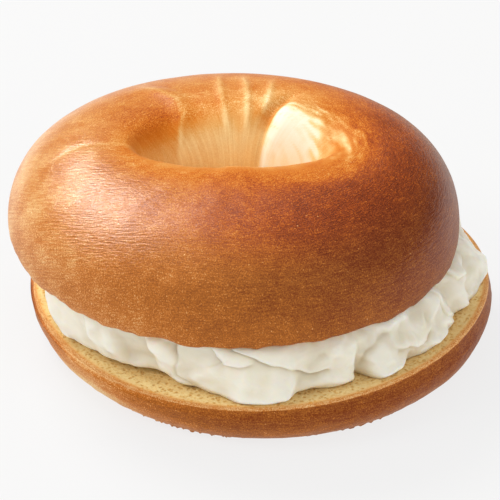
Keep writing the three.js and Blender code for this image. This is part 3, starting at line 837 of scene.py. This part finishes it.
def edge_distance(points, x, y):
    """Signed distance to a line of straight stretches and place along it: the nearest stretch wins, and
    the sign is that of the cross product. The first and last stretch go on beyond their ends."""
    best = np.full_like(x, 1e9)
    side, place = np.zeros_like(x), np.zeros_like(x)
    lengths = np.hypot(*np.diff(points, axis=0).T)
    starts = np.concatenate([[0], np.cumsum(lengths)])
    for k, (a, b) in enumerate(zip(points[:-1], points[1:])):
        dx, dy = (b - a) / lengths[k]
        along = (x - a[0]) * dx + (y - a[1]) * dy
        lowest = -1e9 if k == 0 else 0
        highest = 1e9 if k == len(points) - 2 else lengths[k]
        held = np.clip(along, lowest, highest)
        off = np.hypot(x - a[0] - held * dx, y - a[1] - held * dy)
        across = dx * (y - a[1]) - dy * (x - a[0])
        near = off < best
        side = np.where(near, np.sign(across) * off, side)
        place = np.where(near, starts[k] + held, place)
        best = np.minimum(best, off)
    return side, place, starts[-1]


def sheet_relief(u, up):
    """For each sheet, on its own side a swelling that starts over the edge's rounding and dies away, and
    on the other side a groove: both are bells of the distance, faded at the line's ends. The second result
    is a mask of painted shade, a narrow bell along the line."""
    relief, crease_shade = np.zeros_like(up), np.zeros_like(up)
    for sheet in SHEETS:
        middle = math.radians(sum(sheet["angles"]) / len(sheet["angles"]))
        x = turn_between(u, middle) * EDGE_RADIUS
        points = np.column_stack([(np.radians(sheet["angles"]) - middle) * EDGE_RADIUS, sheet["ups"]])
        side, place, length = edge_distance(points, x + 0 * up, up)
        side = side * np.sign(sheet["lift"])
        lift = abs(sheet["lift"])
        ends = smooth(place / EDGE_FADE_OUT + 0.5) * smooth((length - place) / EDGE_FADE_OUT + 0.5)
        above = np.clip(side, 0, None)
        swelling = (1 - np.exp(-((above / EDGE_ROUND) ** 2))) * np.exp(-((above / sheet["length"]) ** 2))
        below = np.exp(-((np.clip(-side, 0, None) / GROOVE_WIDTH) ** 2))
        relief += lift * ends * (swelling - GROOVE_SHARE * below)
        # painted shade along the edge's line, which the cheese's colour darkens
        crease_shade = np.maximum(crease_shade, ends * np.exp(-((side / CREASE_WIDTH) ** 2)))
    return relief, crease_shade


print(len(SHEETS), "sheets with an edge")

# %% [markdown]
# ## The wall of cheese
#
# The wall fills the gap between the two cut faces, so its height follows both of them. Its radius runs
# from the foot line up to the lip, and the lobes, the sheets and some small clots are added to it.

# %% The cheese's wall
def top_face(x):
    """Height of the upper half's cut face over a point: it falls towards the right with the roll."""
    return TOP_SHIFT[2] - (x - TOP_SHIFT[0]) * math.tan(TOP_ROLL)


def foot_reach(u):
    """Radius of the foot line: soft steps from each dip to the next peak."""
    angles = np.array([p[0] for p in FOOT_LINE] + [FOOT_LINE[0][0] + 360])
    radii = np.array([p[1] for p in FOOT_LINE] + [FOOT_LINE[0][1]])
    at = angles[0] + (np.degrees(u) - angles[0]) % 360
    k = np.clip(np.searchsorted(angles, at, side="right") - 1, 0, len(angles) - 2)
    return mix(radii[k], radii[k + 1], smooth((at - angles[k]) / (angles[k + 1] - angles[k])))


def cheese_reach(u, up, gap):
    """Radius of the wall: a straight run from the foot line to the lip, plus the soft maximum of all
    lobes, each a paraboloid that stands out by its lift, and a curl inwards at the foot."""
    lip = oval_reach(TOP_SHIFT[0], TOP_SHIFT[1], LIP_RADIUS, LIP_RADIUS, u)
    lip = lip - LIP_RECESS["depth"] * hill(u, LIP_RECESS["at"], LIP_RECESS["width"])
    reach = mix(foot_reach(u), lip, up / gap)
    bulge = np.zeros_like(reach)
    for lobe in LOBES:
        side = turn_between(u, math.radians(lobe["at"])) * EDGE_RADIUS
        over = up - lobe["up"] + lobe["slant"] * side
        cap = lobe["lift"] * (1 - (side / lobe["half"]) ** 2 - (over / lobe["high"]) ** 2)
        bulge = LOBE_BLEND * np.logaddexp(bulge / LOBE_BLEND, cap / LOBE_BLEND)
    curl = np.clip(1 - up / FOOT_CURL_HEIGHT, 0, 1)
    top_in = np.clip((up / gap - 0.8) / 0.2, 0, 1)
    return reach + bulge * (1 - 0.75 * top_in**2) * smooth(up / 3 + 0.3) - FOOT_CURL_DEPTH * curl**2


print("the foot line runs from", min(p[1] for p in FOOT_LINE), "to", max(p[1] for p in FOOT_LINE), "mm")

# %% [markdown]
# The section goes up the wall, in under the upper half, down the hole and out again. Before the lobes and
# the sheets are read, each place on the wall is moved a little by noise, so that no edge runs as if drawn
# with a ruler. Clots and fine swipes are added on top.

# %% Section of the cheese
CHEESE_COLUMNS = 900
CHEESE_ROWS = {"wall": 96, "top": 5, "hole": 4, "bottom": 5}
CALM_FOOT = 2.5
SIDE_BEND_TURN, FINE_BEND_TURN, UP_BEND_HEIGHT = 0.005, 0.0015, 0.7
SIDE_BEND, FINE_SIDE_BEND, UP_BEND = (4.5, 60, 41, 7), (2, 150, 42, 3), (5, 70, 43, 11)
SWIPES, SWIPE_SLANT, SWIPE_HEIGHT = (1.8, 80, 44), 60, 0.16
CLOTS, SMALL_CLOTS, CLOT_HEIGHT = (3.2, 96, 45), (1.5, 200, 46, 5), 0.6
CLOT_SHARE, SMALL_CLOT_SHARE, RELIEF_FOOT = 0.7, 0.5, 1.5
CLOT_LEAST, CLOT_SIDES = 0.3, [(1.0, 335, 48), (0.7, 90, 80)]


def cheese_section(u, counts):
    """Round the section: up the lumpy wall, in under the upper half, down the hole and out again."""
    u = u[:, None]
    gap = top_face(SLAB_RADIUS * np.cos(u)) - slab_face(SLAB_RADIUS * np.cos(u)) - 2 * CHEESE_GAP
    share = np.arange(counts["wall"]) / (counts["wall"] - 1)
    wall_turns = u / (2 * math.pi) + 0 * share
    up = share * gap
    drift = SIDE_BEND_TURN * noise(wall_turns, up, *SIDE_BEND)
    drift = drift + FINE_BEND_TURN * noise(wall_turns, up, *FINE_SIDE_BEND)
    lifted = up + UP_BEND_HEIGHT * noise(wall_turns, up, *UP_BEND) * smooth(up / CALM_FOOT)
    drifted = u + drift * 2 * math.pi * smooth(up / CALM_FOOT)
    relief, crease_shade = sheet_relief(drifted, lifted)
    swipes = noise(wall_turns, up + SWIPE_SLANT * wall_turns, *SWIPES)
    clots = CLOT_SHARE * noise(drifted / (2 * math.pi), lifted, *CLOTS)
    clots = clots + SMALL_CLOT_SHARE * noise(drifted / (2 * math.pi), lifted, *SMALL_CLOTS)
    clotted = CLOT_HEIGHT * hills(u, CLOT_SIDES, CLOT_LEAST)
    r = cheese_reach(drifted, lifted, gap) + (relief + clotted * clots) * smooth(up / RELIEF_FOOT)
    r = r + SWIPE_HEIGHT * swipes
    x = r * np.cos(u)
    wall = r, mix(slab_face(x) + CHEESE_GAP, top_face(x) - CHEESE_GAP, share)
    lip, foot = r[:, -1:], r[:, :1]
    hole = oval_reach(u=u, **CHEESE_HOLE)
    roof = (lambda d: top_face(d * np.cos(u)) - CHEESE_GAP)
    floor = (lambda d: slab_face(d * np.cos(u)) + CHEESE_GAP)
    top = straight((lip, roof(lip)), (hole, roof(hole)), counts["top"])
    top = top[0][:, 1:], top[1][:, 1:]
    down = straight((hole, roof(hole)), (hole, floor(hole)), counts["hole"])
    bottom = straight((hole, floor(hole)), (foot, floor(foot)), counts["bottom"])
    parts = [wall, top, down, bottom]
    rest = sum(p[0].shape[1] for p in parts[1:])
    crease_shade = np.hstack([crease_shade, np.zeros((len(u), rest))])
    return np.hstack([p[0] for p in parts]), np.hstack([p[1] for p in parts]), crease_shade


cheese_u = np.arange(CHEESE_COLUMNS) / CHEESE_COLUMNS * 2 * math.pi
cheese_r, cheese_z, crease_shade = cheese_section(cheese_u, CHEESE_ROWS)
print("cheese: radius to", round(float(cheese_r.max()), 1), "mm")

# %% [markdown]
# Where the cheese lies deep, its colour is painted a darker, yellower beige: painted shade. The material
# can't tell by itself which places are deep, so the mesh carries a number for it.

# %% Hollow places and the cheese's mesh
CAVITY_AROUND, CAVITY_UP, CAVITY_DEPTH = 16, 14, 1.0


def hollowness(r, rows):
    """How far each point of the wall lies inside the mean of its neighbourhood, over a millimetre: the
    mean is taken round the ring first, then up the wall with the end rows held."""
    wall = r[:, :rows]
    mean = sum(np.roll(wall, k, axis=0) for k in range(-CAVITY_AROUND, CAVITY_AROUND + 1))
    mean = mean / (2 * CAVITY_AROUND + 1)
    held = np.pad(mean, ((0, 0), (CAVITY_UP, CAVITY_UP)), mode="edge")
    mean = sum(held[:, k:k + rows] for k in range(2 * CAVITY_UP + 1)) / (2 * CAVITY_UP + 1)
    depth = np.clip((mean - wall) / CAVITY_DEPTH, -1, 1)
    return np.hstack([depth, np.zeros((len(r), r.shape[1] - rows))])


# painted shade: how deep each point of the wall lies, for a darker, yellower beige there
cavity = hollowness(cheese_r, CHEESE_ROWS["wall"])
cheese = ring_object(
    "cheese_layer",
    placed(cheese_r, cheese_z, cheese_u, ROW_SHIFT, 0),
    {"crease": crease_shade, "cavity": cavity},
    {},
)

# %% [markdown]
# ## Effects that both crusts share
#
# The two halves are one dough, so their materials share three effects: mottling, tiny blisters from the
# boiling bath, and the open crumb of the cut. Each is a node group with named sockets, built once.

# %% A small kit for node groups
def new_group(name, inputs, outputs):
    """An empty shader group with its sockets, as (group, input node, output node)."""
    group = bpy.data.node_groups.new(name, "ShaderNodeTree")
    for socket, kind, value in inputs:
        made = group.interface.new_socket(socket, in_out="INPUT", socket_type=kind)
        if value is not None:
            made.default_value = value
    for socket, kind in outputs:
        group.interface.new_socket(socket, in_out="OUTPUT", socket_type=kind)
    return group, group.nodes.new("NodeGroupInput"), group.nodes.new("NodeGroupOutput")


def linear(red, green, blue):
    """Screen colour from 0 to 255 as the light it stands for: a power of 2.4, straight near black."""
    shares = [c / 255 for c in (red, green, blue)]
    return tuple(((c + 0.055) / 1.055) ** 2.4 if c > 10 / 255 else c / 12.92 for c in shares)


print("white is", linear(255, 255, 255))

# %% [markdown]
# Wiring nodes by hand takes three lines for each. This class takes one, so that an effect can be read
# from top to bottom like a sum.

# %% Wiring of nodes
class Wiring:
    """Adds nodes to a tree and joins them, so that each effect reads as a short list of steps."""

    def __init__(self, tree):
        self.tree = tree

    def node(self, kind, settings=None, **sockets):
        """Any node, with its settings and with its inputs fed by name."""
        made = self.tree.nodes.new(kind)
        for key, value in (settings or {}).items():
            setattr(made, key, value)
        for key, value in sockets.items():
            self.feed(made.inputs[key.replace("_", " ")], value)
        return made

    def feed(self, socket, value):
        """Joins a socket to an output, or gives it a plain value."""
        if isinstance(value, bpy.types.NodeSocket):
            self.tree.links.new(value, socket)
        else:
            socket.default_value = value

    def math(self, operation, a, b=0.0, c=0.0):
        """One sum of up to three numbers. MULTIPLY_ADD is a times b plus c."""
        made = self.tree.nodes.new("ShaderNodeMath")
        made.operation = operation
        for socket, value in zip(made.inputs, (a, b, c)):
            self.feed(socket, value)
        return made.outputs[0]

    def ramp(self, value, stops):
        """Colour looked up between the stops, each a (place, colour) pair."""
        made = self.tree.nodes.new("ShaderNodeValToRGB")
        while len(made.color_ramp.elements) < len(stops):
            made.color_ramp.elements.new(0.5)
        for element, (place, colour) in zip(made.color_ramp.elements, stops):
            element.position = place
            element.color = (*colour, 1.0)
        self.feed(made.inputs["Fac"], value)
        return made.outputs["Color"]

    def blend(self, share, a, b):
        """Straight mix from colour a to colour b."""
        made = self.tree.nodes.new("ShaderNodeMix")
        made.data_type = "RGBA"
        self.feed(made.inputs["Factor"], share)
        self.feed(made.inputs[6], a)
        self.feed(made.inputs[7], b)
        return made.outputs[2]

    def between(self, share, a, b):
        """Straight mix from number a to number b: b minus a, times the share, plus a."""
        return self.math("MULTIPLY_ADD", self.math("SUBTRACT", b, a), share, a)

    def step(self, value, low, high):
        """Soft step from 0 at low to 1 at high."""
        made = self.tree.nodes.new("ShaderNodeMapRange")
        made.interpolation_type = "SMOOTHSTEP"
        for socket, given in zip(made.inputs, (value, low, high)):
            self.feed(socket, given)
        return made.outputs[0]

    def carried(self, name, kind="Fac"):
        """A number or a vector that the mesh carries at each of its points."""
        return self.node("ShaderNodeAttribute", {"attribute_name": name}).outputs[kind]

    def noise(self, vector, scale, detail, roughness=0.5):
        """Cloudy noise from 0 to 1. scale is in clouds for each metre."""
        return self.node(
            "ShaderNodeTexNoise", Vector=vector, Scale=scale, Detail=detail, Roughness=roughness
        ).outputs["Fac"]


print("wiring knows", [name for name in vars(Wiring) if not name.startswith("_")])

# %% [markdown]
# Mottling is a slow noise and a fine one, mixed. It shifts the bake number both ways by a given amount,
# and the fine noise is handed out as a height too.

# %% Mottling group
SLOW_SPOTS, FINE_SPOTS = (300.0, 3.0), (3300.0, 2.0, 0.7)

mottle_group, g_in, g_out = new_group(
    "mottling",
    [("Vector", "NodeSocketVector", None), ("Amount", "NodeSocketFloat", 0.1)],
    [("Shift", "NodeSocketFloat"), ("Height", "NodeSocketFloat")],
)
w = Wiring(mottle_group)
coarse = w.noise(g_in.outputs["Vector"], *SLOW_SPOTS)
fine = w.noise(g_in.outputs["Vector"], *FINE_SPOTS)
both = w.math("ADD", w.math("MULTIPLY", coarse, 0.15), w.math("MULTIPLY", fine, 0.85))
w.feed(g_out.inputs["Shift"], w.math("MULTIPLY", w.math("SUBTRACT", both, 0.5), g_in.outputs["Amount"]))
w.feed(g_out.inputs["Height"], fine)
print("mottling ready")

# %% [markdown]
# Blisters from the boiling bath are small pale dots, one in some of the cells of a Voronoi pattern. A
# cell's own colour is random, which serves as the lottery ticket that says whether it gets a dot.

# %% Blister group
blister_group, g_in, g_out = new_group(
    "blisters",
    [
        ("Vector", "NodeSocketVector", None),
        ("Scale", "NodeSocketFloat", 900.0),
        ("Share", "NodeSocketFloat", 0.3),
    ],
    [("Dots", "NodeSocketFloat")],
)
w = Wiring(blister_group)
cells = w.node("ShaderNodeTexVoronoi", Vector=g_in.outputs["Vector"], Scale=g_in.outputs["Scale"])
lottery = w.node("ShaderNodeSeparateColor", Color=cells.outputs["Color"]).outputs[0]
chosen = w.math("LESS_THAN", lottery, g_in.outputs["Share"])
dot = w.math("SUBTRACT", 1.0, w.step(cells.outputs["Distance"], 0.05, 0.32))
w.feed(g_out.inputs["Dots"], w.math("MULTIPLY", dot, chosen))
print("blisters ready")

# %% [markdown]
# The open crumb is a Voronoi pattern with bent cells for the small air holes, mixed with fine noise. The
# air holes are painted darker, as painted shade, and the same number is the crumb's height.

# %% Crumb group
CRUMB_TONES = [(0.3, linear(216, 160, 86)), (0.5, linear(242, 200, 124)), (0.72, linear(255, 230, 168))]
CELL_BEND = (0.0012, 0.0012, 0.0012)

crumb_group, g_in, g_out = new_group(
    "crumb",
    [("Vector", "NodeSocketVector", None)],
    [("Color", "NodeSocketColor"), ("Height", "NodeSocketFloat")],
)
w = Wiring(crumb_group)
bent = w.node("ShaderNodeTexNoise", Vector=g_in.outputs["Vector"], Scale=700.0, Detail=2.0).outputs["Color"]
warp = w.node("ShaderNodeVectorMath", {"operation": "MULTIPLY_ADD"})
w.feed(warp.inputs[0], bent)
w.feed(warp.inputs[1], CELL_BEND)
w.feed(warp.inputs[2], g_in.outputs["Vector"])
holes = w.node("ShaderNodeTexVoronoi", Vector=warp.outputs[0], Scale=900.0)
# painted shade: the crumb is darker in the middle of each cell, its small air hole
air_hole_shade = w.step(holes.outputs["Distance"], 0.1, 0.5)
grain = w.noise(g_in.outputs["Vector"], 1500.0, 4.0, 0.65)
level = w.math("ADD", w.math("MULTIPLY", air_hole_shade, 0.35), w.math("MULTIPLY", grain, 0.65))
w.feed(g_out.inputs["Color"], w.ramp(level, CRUMB_TONES))
w.feed(g_out.inputs["Height"], level)
print("crumb ready")


# %% [markdown]
# ## The crust
#
# A bagel is boiled before it is baked, which gives its crust a tight skin with a satin gloss. The bake
# number is mottled and then looked up in a ramp from pale dough to mahogany. The skin has wrinkled as
# the crumb shrank below it. Those wrinkles run round the ring, lie level on the left shoulder and run down
# into the hollow on its walls, so their patterns are read from coordinates that follow the surface and
# are stretched along the lines.

# %% Colours of the bake
CROWN_COLOURS = [
    (0.00, linear(255, 250, 230)),
    (0.10, linear(246, 212, 150)),
    (0.20, linear(226, 168, 96)),
    (0.30, linear(213, 134, 52)),
    (0.42, linear(202, 108, 22)),
    (0.55, linear(178, 82, 16)),
    (0.70, linear(150, 62, 14)),
    (0.85, linear(130, 56, 18)),
    (1.00, linear(110, 42, 14)),
]
FLANK_COLOURS = [
    (0.00, linear(255, 250, 230)),
    (0.12, linear(240, 200, 138)),
    (0.30, linear(206, 125, 52)),
    (0.42, linear(182, 104, 36)),
    (0.55, linear(158, 90, 34)),
    (0.70, linear(142, 72, 26)),
    (0.85, linear(130, 58, 20)),
    (1.00, linear(114, 46, 14)),
]
print(len(CROWN_COLOURS), "colours on the crown and", len(FLANK_COLOURS), "on the flank")

# %% [markdown]
# The wrinkles are three patterns of stretched noise, blended where the masks say so. In the colour, their
# lines paint shade into the grooves and light onto the ridges between, and the same noise lifts the skin as
# bump.

# %% Wrinkles of the skin
RING_STRETCH, WALL_STRETCH = (0.14, 0.14, 1.0), (1.0, 1.0, 0.12)
ROUND_NOISE, LEVEL_NOISE, WALL_NOISE = (2500.0, 2.0, 0.6), (2300.0, 3.0, 0.6), (1700.0, 2.0, 0.6)
SHARP_LINES, SOFT_LINES = (0.3, 0.7), (0.25, 0.75)
# painted shade and light: how far the grain's lines darken the grooves and lighten the ridges
LINE_SHADE_DEPTH = {"plain": 0.2, "inward": -0.08, "shoulder": 0.02}
HOLLOW_CALM, UNEVEN_LEAST, UNEVEN_MORE = 0.7, 0.04, 1.2


def skin_grain(w, shoulder, inward):
    """Noise from 0 to 1, stretched into lines: round the ring, level on the left shoulder, and down into
    the hollow on its walls. Soft steps sharpen it."""
    skin = w.carried("skin", "Vector")
    ring_lines = w.node("ShaderNodeMapping", Vector=skin, Scale=RING_STRETCH).outputs[0]
    wall_lines = w.node("ShaderNodeMapping", Vector=skin, Scale=WALL_STRETCH).outputs[0]
    round_grain = w.step(w.noise(ring_lines, *ROUND_NOISE), *SHARP_LINES)
    level_grain = w.step(w.noise(w.carried("level", "Vector"), *LEVEL_NOISE), *SHARP_LINES)
    wall_grain = w.step(w.noise(wall_lines, *WALL_NOISE), *SOFT_LINES)
    return w.between(inward, w.between(shoulder, round_grain, level_grain), wall_grain)


def skin_colour(w, bake, grain, spots, shoulder, inward):
    """The spots, calmer in the hollow, less the lines of the grain, are added to the bake in a measure
    that grows with it. Those lines paint shade into the wrinkles' grooves and light onto their ridges. The
    sum is looked up in two ramps, which are mixed by the flank."""
    uneven = w.math("MULTIPLY", spots, w.math("MULTIPLY_ADD", inward, -HOLLOW_CALM, 1.0))
    line_shade_depth = w.math("MULTIPLY_ADD", inward, LINE_SHADE_DEPTH["inward"], LINE_SHADE_DEPTH["plain"])
    line_shade_depth = w.math("MULTIPLY_ADD", shoulder, LINE_SHADE_DEPTH["shoulder"], line_shade_depth)
    # painted shade in the grooves and painted light on the ridges
    painted_line_shade = w.math("MULTIPLY", w.math("SUBTRACT", grain, 0.5), line_shade_depth)
    uneven = w.math("SUBTRACT", uneven, painted_line_shade)
    measure = w.math("MULTIPLY_ADD", bake, UNEVEN_MORE, UNEVEN_LEAST)
    shifted = w.math("MULTIPLY_ADD", uneven, measure, bake)
    return w.blend(w.carried("flank"), w.ramp(shifted, CROWN_COLOURS), w.ramp(shifted, FLANK_COLOURS))


print("wrinkles ready")

# %% [markdown]
# The toast, the duller crumb and the flour of the lower half are plain mixes of colours. The upper half
# shows none of them, because its cut face lies on the cheese.

# %% Toast and flour of the lower half
INNER_CRUMB, TOASTED_CRUMB, FLOUR = linear(214, 170, 102), linear(240, 164, 78), linear(222, 186, 140)
INNER_SHARE, FLOUR_SHARE = 0.5, 0.5
FLOUR_CLOUDS, FLOUR_EDGE = (420.0, 4.0, 0.7), (0.45, 0.7)


def toasted(w, crumb_colour):
    """The crumb's colour, mixed with a duller one further in and with a toasted one at the rim."""
    duller = w.blend(w.math("MULTIPLY", w.carried("inner"), INNER_SHARE), crumb_colour, (*INNER_CRUMB, 1.0))
    return w.blend(w.carried("toast"), duller, (*TOASTED_CRUMB, 1.0))


def floured(w, place, colour):
    """The skin's colour, mixed with flour in clouds where the mesh carries any."""
    dust = w.math("MULTIPLY", w.carried("flour"), w.step(w.noise(place, *FLOUR_CLOUDS), *FLOUR_EDGE))
    return w.blend(w.math("MULTIPLY", dust, FLOUR_SHARE), colour, (*FLOUR, 1.0))


print("toast and flour ready")

# %% [markdown]
# The two crusts are one material with two settings: how high its wrinkles are, and whether it has a
# toasted crumb and flour.

# %% Crust material
MOTTLE_AMOUNT, BLISTER_PALE = 2.0, 0.3
MOTTLE_HEIGHT, BLISTER_HEIGHT, CRUMB_HEIGHT = 0.000012, 0.000015, 0.0005
BLISTERS, SPECKS, SPECK_WEIGHT = {"Scale": 1500.0, "Share": 0.2}, {"Scale": 2700.0, "Share": 0.42}, 0.8
TOP_WRINKLES, BOTTOM_WRINKLES = 0.00007, 0.00004
ROUGH = {"least": 0.22, "mottled": 0.12, "dull": 0.22, "crumb": 0.3}
SHINE_LEAST, SHINE_MORE = 0.06, 0.45
CRUST_SHEEN = {"Sheen Weight": 0.12, "Sheen Roughness": 0.4, "Sheen Tint": (1.0, 0.74, 0.5, 1)}


def crust_material(name, wrinkle_height, toast_and_flour):
    """Principled skin, with the crumb where the face value says so. Where the gloss is low it is rougher
    and reflects less. The bump is the sum of wrinkles, mottling and blisters on the skin, and of the holes
    in the crumb."""
    made = bpy.data.materials.new(name)
    made.use_nodes = True
    w = Wiring(made.node_tree)
    shader = made.node_tree.nodes["Principled BSDF"]
    place = w.node("ShaderNodeTexCoord").outputs["Object"]
    bake, face, gloss = w.carried("bake"), w.carried("face"), w.carried("gloss")
    shoulder, inward = w.carried("shoulder"), w.carried("inward")

    mottling = w.node("ShaderNodeGroup", {"node_tree": mottle_group}, Vector=place, Amount=MOTTLE_AMOUNT)
    blisters = w.node("ShaderNodeGroup", {"node_tree": blister_group}, Vector=place, **BLISTERS)
    specks = w.node("ShaderNodeGroup", {"node_tree": blister_group}, Vector=place, **SPECKS)
    crumbs = w.node("ShaderNodeGroup", {"node_tree": crumb_group}, Vector=place)
    dots = w.math("ADD", blisters.outputs["Dots"], w.math("MULTIPLY", specks.outputs["Dots"], SPECK_WEIGHT))
    grain = skin_grain(w, shoulder, inward)

    spots = w.math("SUBTRACT", mottling.outputs["Shift"], w.math("MULTIPLY", dots, BLISTER_PALE))
    colour = skin_colour(w, bake, grain, spots, shoulder, inward)
    crumb_colour = crumbs.outputs["Color"]
    if toast_and_flour:
        crumb_colour = toasted(w, crumb_colour)
        colour = floured(w, place, colour)
    w.feed(shader.inputs["Base Color"], w.blend(face, colour, crumb_colour))

    rough = w.math("MULTIPLY_ADD", mottling.outputs["Height"], ROUGH["mottled"], ROUGH["least"])
    rough = w.math("MULTIPLY_ADD", w.math("SUBTRACT", 1.0, gloss), ROUGH["dull"], rough)
    w.feed(shader.inputs["Roughness"], w.math("MULTIPLY_ADD", face, ROUGH["crumb"], rough))
    w.feed(shader.inputs["Specular IOR Level"], w.math("MULTIPLY_ADD", gloss, SHINE_MORE, SHINE_LEAST))
    for socket, value in CRUST_SHEEN.items():
        shader.inputs[socket].default_value = value

    ridges = w.math("MULTIPLY", w.math("MULTIPLY", grain, w.carried("wrinkling")), wrinkle_height)
    height = w.math("ADD", ridges, w.math("MULTIPLY", mottling.outputs["Height"], MOTTLE_HEIGHT))
    height = w.math("ADD", height, w.math("MULTIPLY", dots, BLISTER_HEIGHT))
    height = w.math("MULTIPLY", height, w.math("SUBTRACT", 1.0, face))
    crumb_height = w.math("MULTIPLY", w.math("MULTIPLY", crumbs.outputs["Height"], face), CRUMB_HEIGHT)
    height = w.math("ADD", height, crumb_height)
    bump = w.node("ShaderNodeBump", Height=height, Strength=1.0, Distance=1.0)
    w.feed(shader.inputs["Normal"], bump.outputs[0])
    return made


top_material = crust_material("top_crust", TOP_WRINKLES, False)
bottom_material = crust_material("bottom_crust", BOTTOM_WRINKLES, True)
bagel_top.data.materials.append(top_material)
bagel_bottom.data.materials.append(bottom_material)
print("crust has", len(top_material.node_tree.nodes), "nodes")

# %% [markdown]
# ## Soft cheese
#
# Fresh cheese lets light in and gives it back warm, and its moist skin shines softly. Subsurface light
# does the first. Painted shade makes the deep places and the creases a darker, yellower beige, and a faint
# noise keeps the white from being one flat colour.

# %% Cheese material
CHEESE_TONES = [(0.1, linear(247, 241, 225)), (0.45, linear(237, 229, 207)), (0.9, linear(218, 205, 176))]
CHEESE_GLOW = {
    "Subsurface Weight": 0.5,
    "Subsurface Radius": (1.0, 0.75, 0.45),
    "Subsurface Scale": 0.004,
}
CHEESE_SWELL, CHEESE_GRAIN = 0.0005, 0.00003

cheese_material = bpy.data.materials.new("soft_cheese")
cheese_material.use_nodes = True
w = Wiring(cheese_material.node_tree)
shader = cheese_material.node_tree.nodes["Principled BSDF"]
place = w.node("ShaderNodeTexCoord").outputs["Object"]
crease_shade_mask = w.carried("crease")
clouds = w.noise(place, 120.0, 3.0)
cavity_mask = w.carried("cavity")
# painted shade: deep places are looked up further along the ramp, towards darker beige
tone = w.math("MULTIPLY_ADD", cavity_mask, 0.3, w.math("MULTIPLY_ADD", clouds, 0.5, 0.05))
# painted shade: the creases under the sheets' edges are darker beige too
tone = w.math("MULTIPLY_ADD", crease_shade_mask, 0.35, tone)
w.feed(shader.inputs["Base Color"], w.ramp(tone, CHEESE_TONES))
for socket, value in CHEESE_GLOW.items():
    shader.inputs[socket].default_value = value
w.feed(shader.inputs["Roughness"], w.math("MULTIPLY_ADD", w.noise(place, 300.0, 3.0), 0.16, 0.26))
slow_bump = w.math("MULTIPLY", w.noise(place, 260.0, 3.0), CHEESE_SWELL)
fine_bump = w.math("MULTIPLY", w.noise(place, 1400.0, 2.0), CHEESE_GRAIN)
cream_bump = w.math("ADD", slow_bump, fine_bump)
bump = w.node("ShaderNodeBump", Height=cream_bump, Strength=0.8, Distance=1.0)
w.feed(shader.inputs["Normal"], bump.outputs[0])
cheese.data.materials.append(cheese_material)
print("cheese has", len(cheese_material.node_tree.nodes), "nodes")

# %% [markdown]
# ## Table and light
#
# The picture has one large soft window, behind the bagel and to its left. It draws the pale sheen on the
# left shoulder and lights the right wall of the hollow, while the right flank falls into its own shade. A
# pale table and a dim white room fill in the rest. The table glows a little, so that it stays as white as
# its surroundings; its glow also lightens the bagel's shadow on it and lights the bagel from below. The
# window is two lamps: one gives plain light, and one is seen only in glossy skin, so that the sheen can be
# placed without changing the light.

# %% Table and room
FLOOR_SIZE = 6.0
# the table's own colour, and a glow that keeps it white, lightens the bagel's shadow and lights it from
# below
TABLE_SURFACE_AND_GLOW = {
    "Base Color": (0.1, 0.1, 0.1, 1),
    "Roughness": 0.9,
    "Emission Color": (1, 1, 1, 1),
    "Emission Strength": 0.79,
}
ROOM_COLOUR, ROOM_STRENGTH = (1.0, 0.99, 0.98, 1), 0.6

floor_mesh = bpy.data.meshes.new("floor")
half = FLOOR_SIZE / 2
corners = [(-half, -half, 0), (half, -half, 0), (half, half, 0), (-half, half, 0)]
floor_mesh.from_pydata(corners, [], [(0, 1, 2, 3)])
floor = bpy.data.objects.new("floor", floor_mesh)
bpy.context.collection.objects.link(floor)
floor_material = bpy.data.materials.new("floor")
floor_material.use_nodes = True
table_shader = floor_material.node_tree.nodes["Principled BSDF"]
for socket, value in TABLE_SURFACE_AND_GLOW.items():
    table_shader.inputs[socket].default_value = value
floor_mesh.materials.append(floor_material)

world = bpy.data.worlds.new("room")
bpy.context.scene.world = world
world.use_nodes = True
world.node_tree.nodes["Background"].inputs["Color"].default_value = ROOM_COLOUR
world.node_tree.nodes["Background"].inputs["Strength"].default_value = ROOM_STRENGTH
world.cycles_visibility.glossy = False
print("table and room ready")

# %% [markdown]
# Each lamp is a large oval that the camera does not see. It is given by its bearing and its rise from
# the bagel.

# %% Lamps
LAMP_DISTANCE = 2.2
MIRRORED_TINT = (1.0, 0.95, 0.9)


def soft_lamp(name, bearing, rise, width, height, power, mirrored=False):
    """A soft window: an oval lamp at a bearing and rise from the bagel's middle, turned to face it. A
    mirrored one is seen in glossy skin alone, and the others give the plain light."""
    data = bpy.data.lights.new(name, "AREA")
    data.shape = "ELLIPSE"
    data.color = MIRRORED_TINT if mirrored else (1, 1, 1)
    data.size, data.size_y = width, height
    data.energy = power
    lamp = bpy.data.objects.new(name, data)
    bpy.context.collection.objects.link(lamp)
    turn, tilt = math.radians(bearing), math.radians(rise)
    way = Vector((math.cos(turn) * math.cos(tilt), math.sin(turn) * math.cos(tilt), math.sin(tilt)))
    lamp.location = AIM + way * LAMP_DISTANCE
    lamp.rotation_euler = (-way).to_track_quat("-Z", "Y").to_euler()
    lamp.visible_camera = False
    lamp.visible_glossy = mirrored
    lamp.visible_diffuse = not mirrored
    return lamp


soft_lamp("window", 124, 40, 1.3, 1.0, 35)
soft_lamp("window_shine", 122, 46, 1.0, 0.8, 42, True)
soft_lamp("left_fill", 192, 42, 1.0, 1.0, 15)
soft_lamp("right_fill", 320, 30, 1.0, 1.0, 8)
bpy.context.scene.view_settings.view_transform = "Standard"

# %% [markdown]
# ## Tie the pieces to the model
#
# Each fine ring stands for one packed node, whose own mesh is hidden, and rides on the model's only body.

# %% Tie the pieces to the packed model
for piece, node, slot in (
    (bagel_bottom, "bagel_bottom", "crust_bottom"),
    (cheese, "cream_cheese", "cream_cheese"),
    (bagel_top, "bagel_top", "crust_top"),
):
    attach(piece, "root")
    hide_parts(node)

# %% [markdown]
